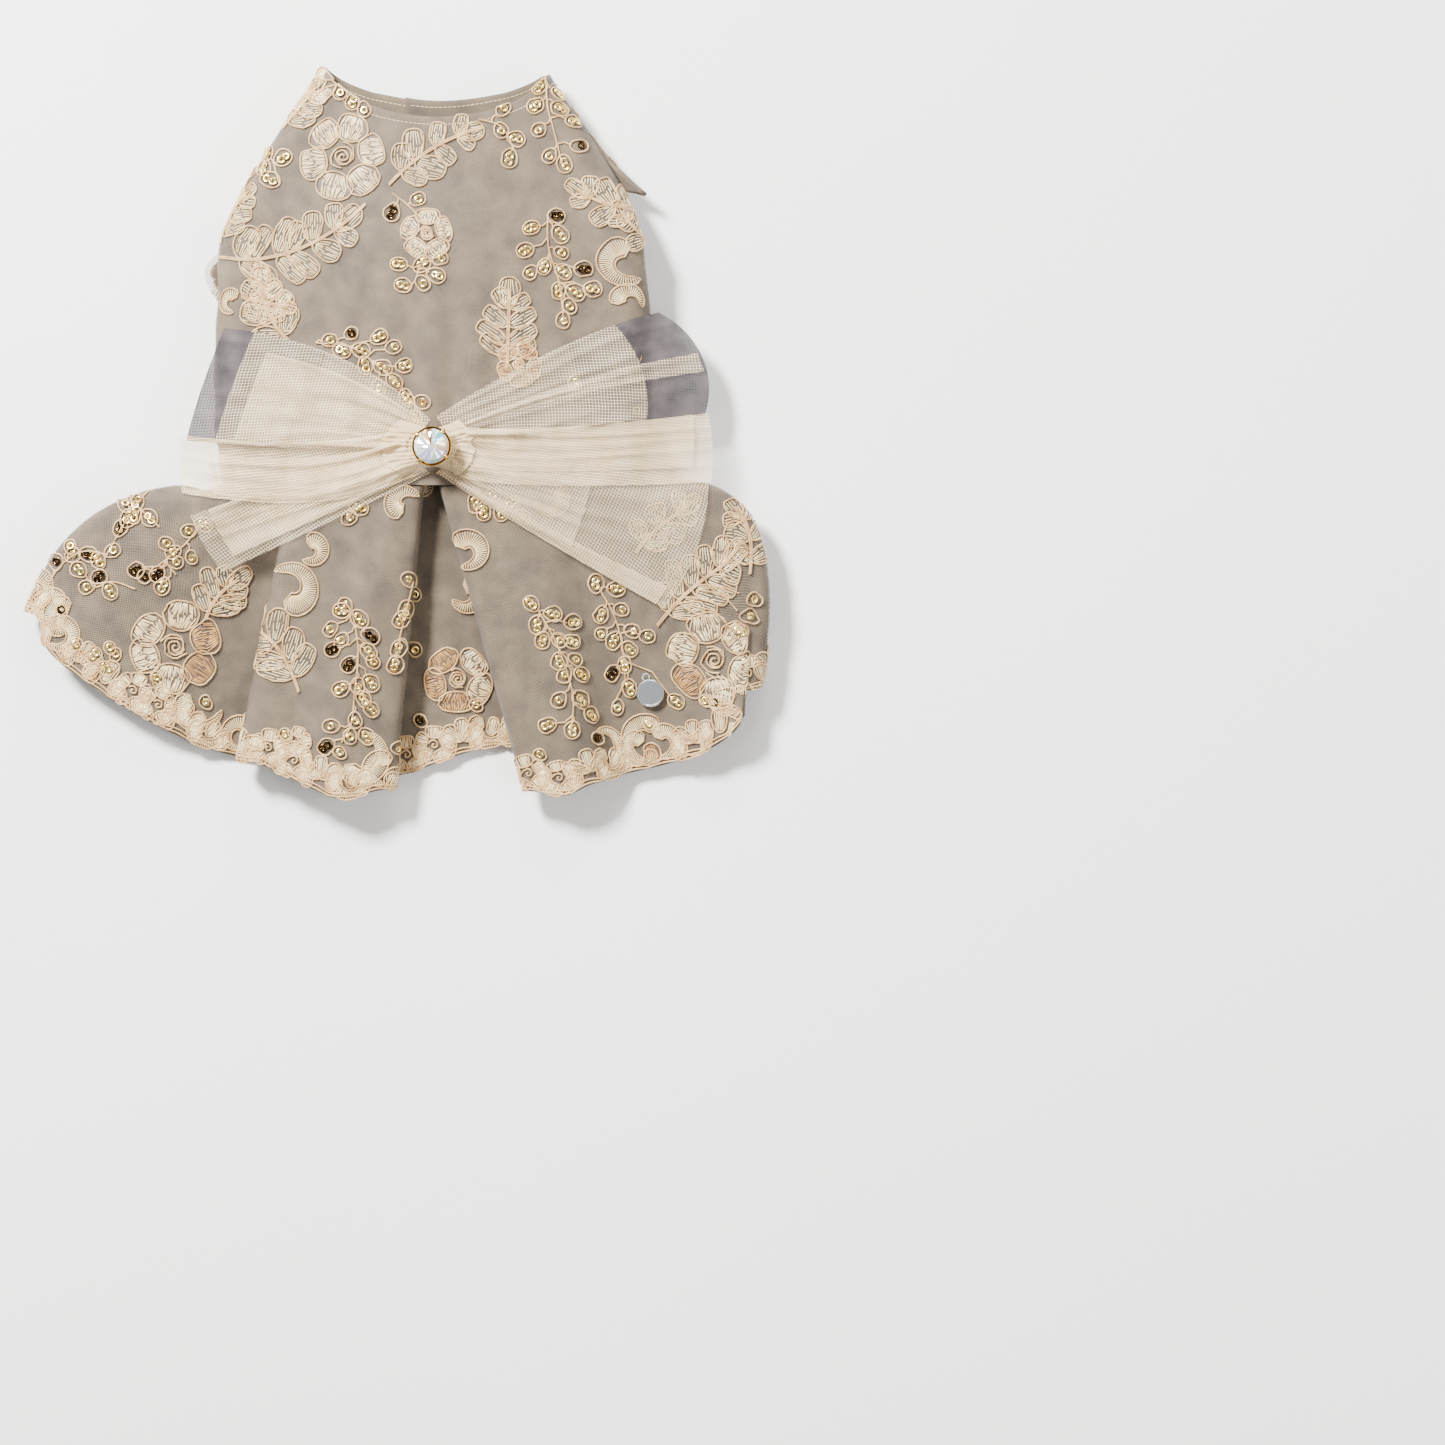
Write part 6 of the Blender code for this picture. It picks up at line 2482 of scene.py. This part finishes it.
@dataclass(frozen=True)
class Studio:
    """The floor, the lights and the camera."""

    lens: float = 150.0
    sensor: float = 36.0

    def make_floor(self) -> None:
        """Lays a plain pale floor just under the dress."""
        form = bmesh.new()
        bmesh.ops.create_grid(form, x_segments=1, y_segments=1, size=6.0)
        bmesh.ops.translate(form, verts=form.verts, vec=(0, 0, -0.00005))
        floor = bpy.data.objects.new("floor", as_mesh("floor", form))
        floor.data.materials.append(Finish.FLOOR.material)
        bpy.context.scene.collection.objects.link(floor)

    def make_lights(self) -> None:
        """Hangs soft lights round the dress and a pale sky over it."""
        # Name, place, size in metres and power in watts
        lamps = (
            ("key", (-0.75, 0.85, 1.15), 0.36, 124.0),
            ("fill", (1.05, -0.35, 1.25), 1.1, 17.0),
            ("rim", (0.25, 1.35, 0.8), 0.7, 14.0),
        )
        for name, place, size, power in lamps:
            data = bpy.data.lights.new(name, "AREA")
            data.shape = "DISK"
            data.size = size
            data.energy = power
            lamp = bpy.data.objects.new(name, data)
            lamp.location = place
            aim = Vector((0.0, -0.02, 0.0)) - Vector(place)
            lamp.rotation_euler = aim.to_track_quat("-Z", "Y").to_euler()
            bpy.context.scene.collection.objects.link(lamp)
        world = bpy.data.worlds.new("pale")
        world.use_nodes = True
        sky = world.node_tree.nodes["Background"]
        sky.inputs["Color"].default_value = (1.0, 0.99, 0.975, 1.0)
        sky.inputs["Strength"].default_value = 0.5
        bpy.context.scene.world = world

    def make_camera(self) -> None:
        """Puts the camera straight over the photograph's middle."""
        x, y = photo_spot(PHOTO_SIDE / 2, PHOTO_SIDE / 2)
        data = bpy.data.cameras.new("camera")
        data.lens = self.lens
        data.sensor_width = self.sensor
        camera = bpy.data.objects.new("camera", data)
        camera.location = (x, y, PHOTO_SIDE * PIXEL * self.lens / self.sensor)
        bpy.context.scene.collection.objects.link(camera)
        bpy.context.scene.camera = camera


def main() -> None:
    """Builds the dress and the studio round it."""
    logging.basicConfig(level=logging.INFO, format="%(message)s")
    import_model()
    studio = Studio()
    studio.make_camera()
    bodice = Bodice()
    back = bodice.make_back()
    bodice.make_straps()
    bodice.make_flounces()
    bodice.dress_closures()
    skirt = Skirt(SkirtForm(bodice.form)).make()
    bow = Bow()
    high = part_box("bow_knot")[1]
    seat = float(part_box("stone_cup")[0][2])
    bow.make_knot(float(high[2]), bow.make_strips([back, skirt]))
    bow.make_stone(seat)
    bow.make_cup(seat)
    Charm().make()
    studio.make_floor()
    studio.make_lights()


if __name__ == "__main__":
    main()
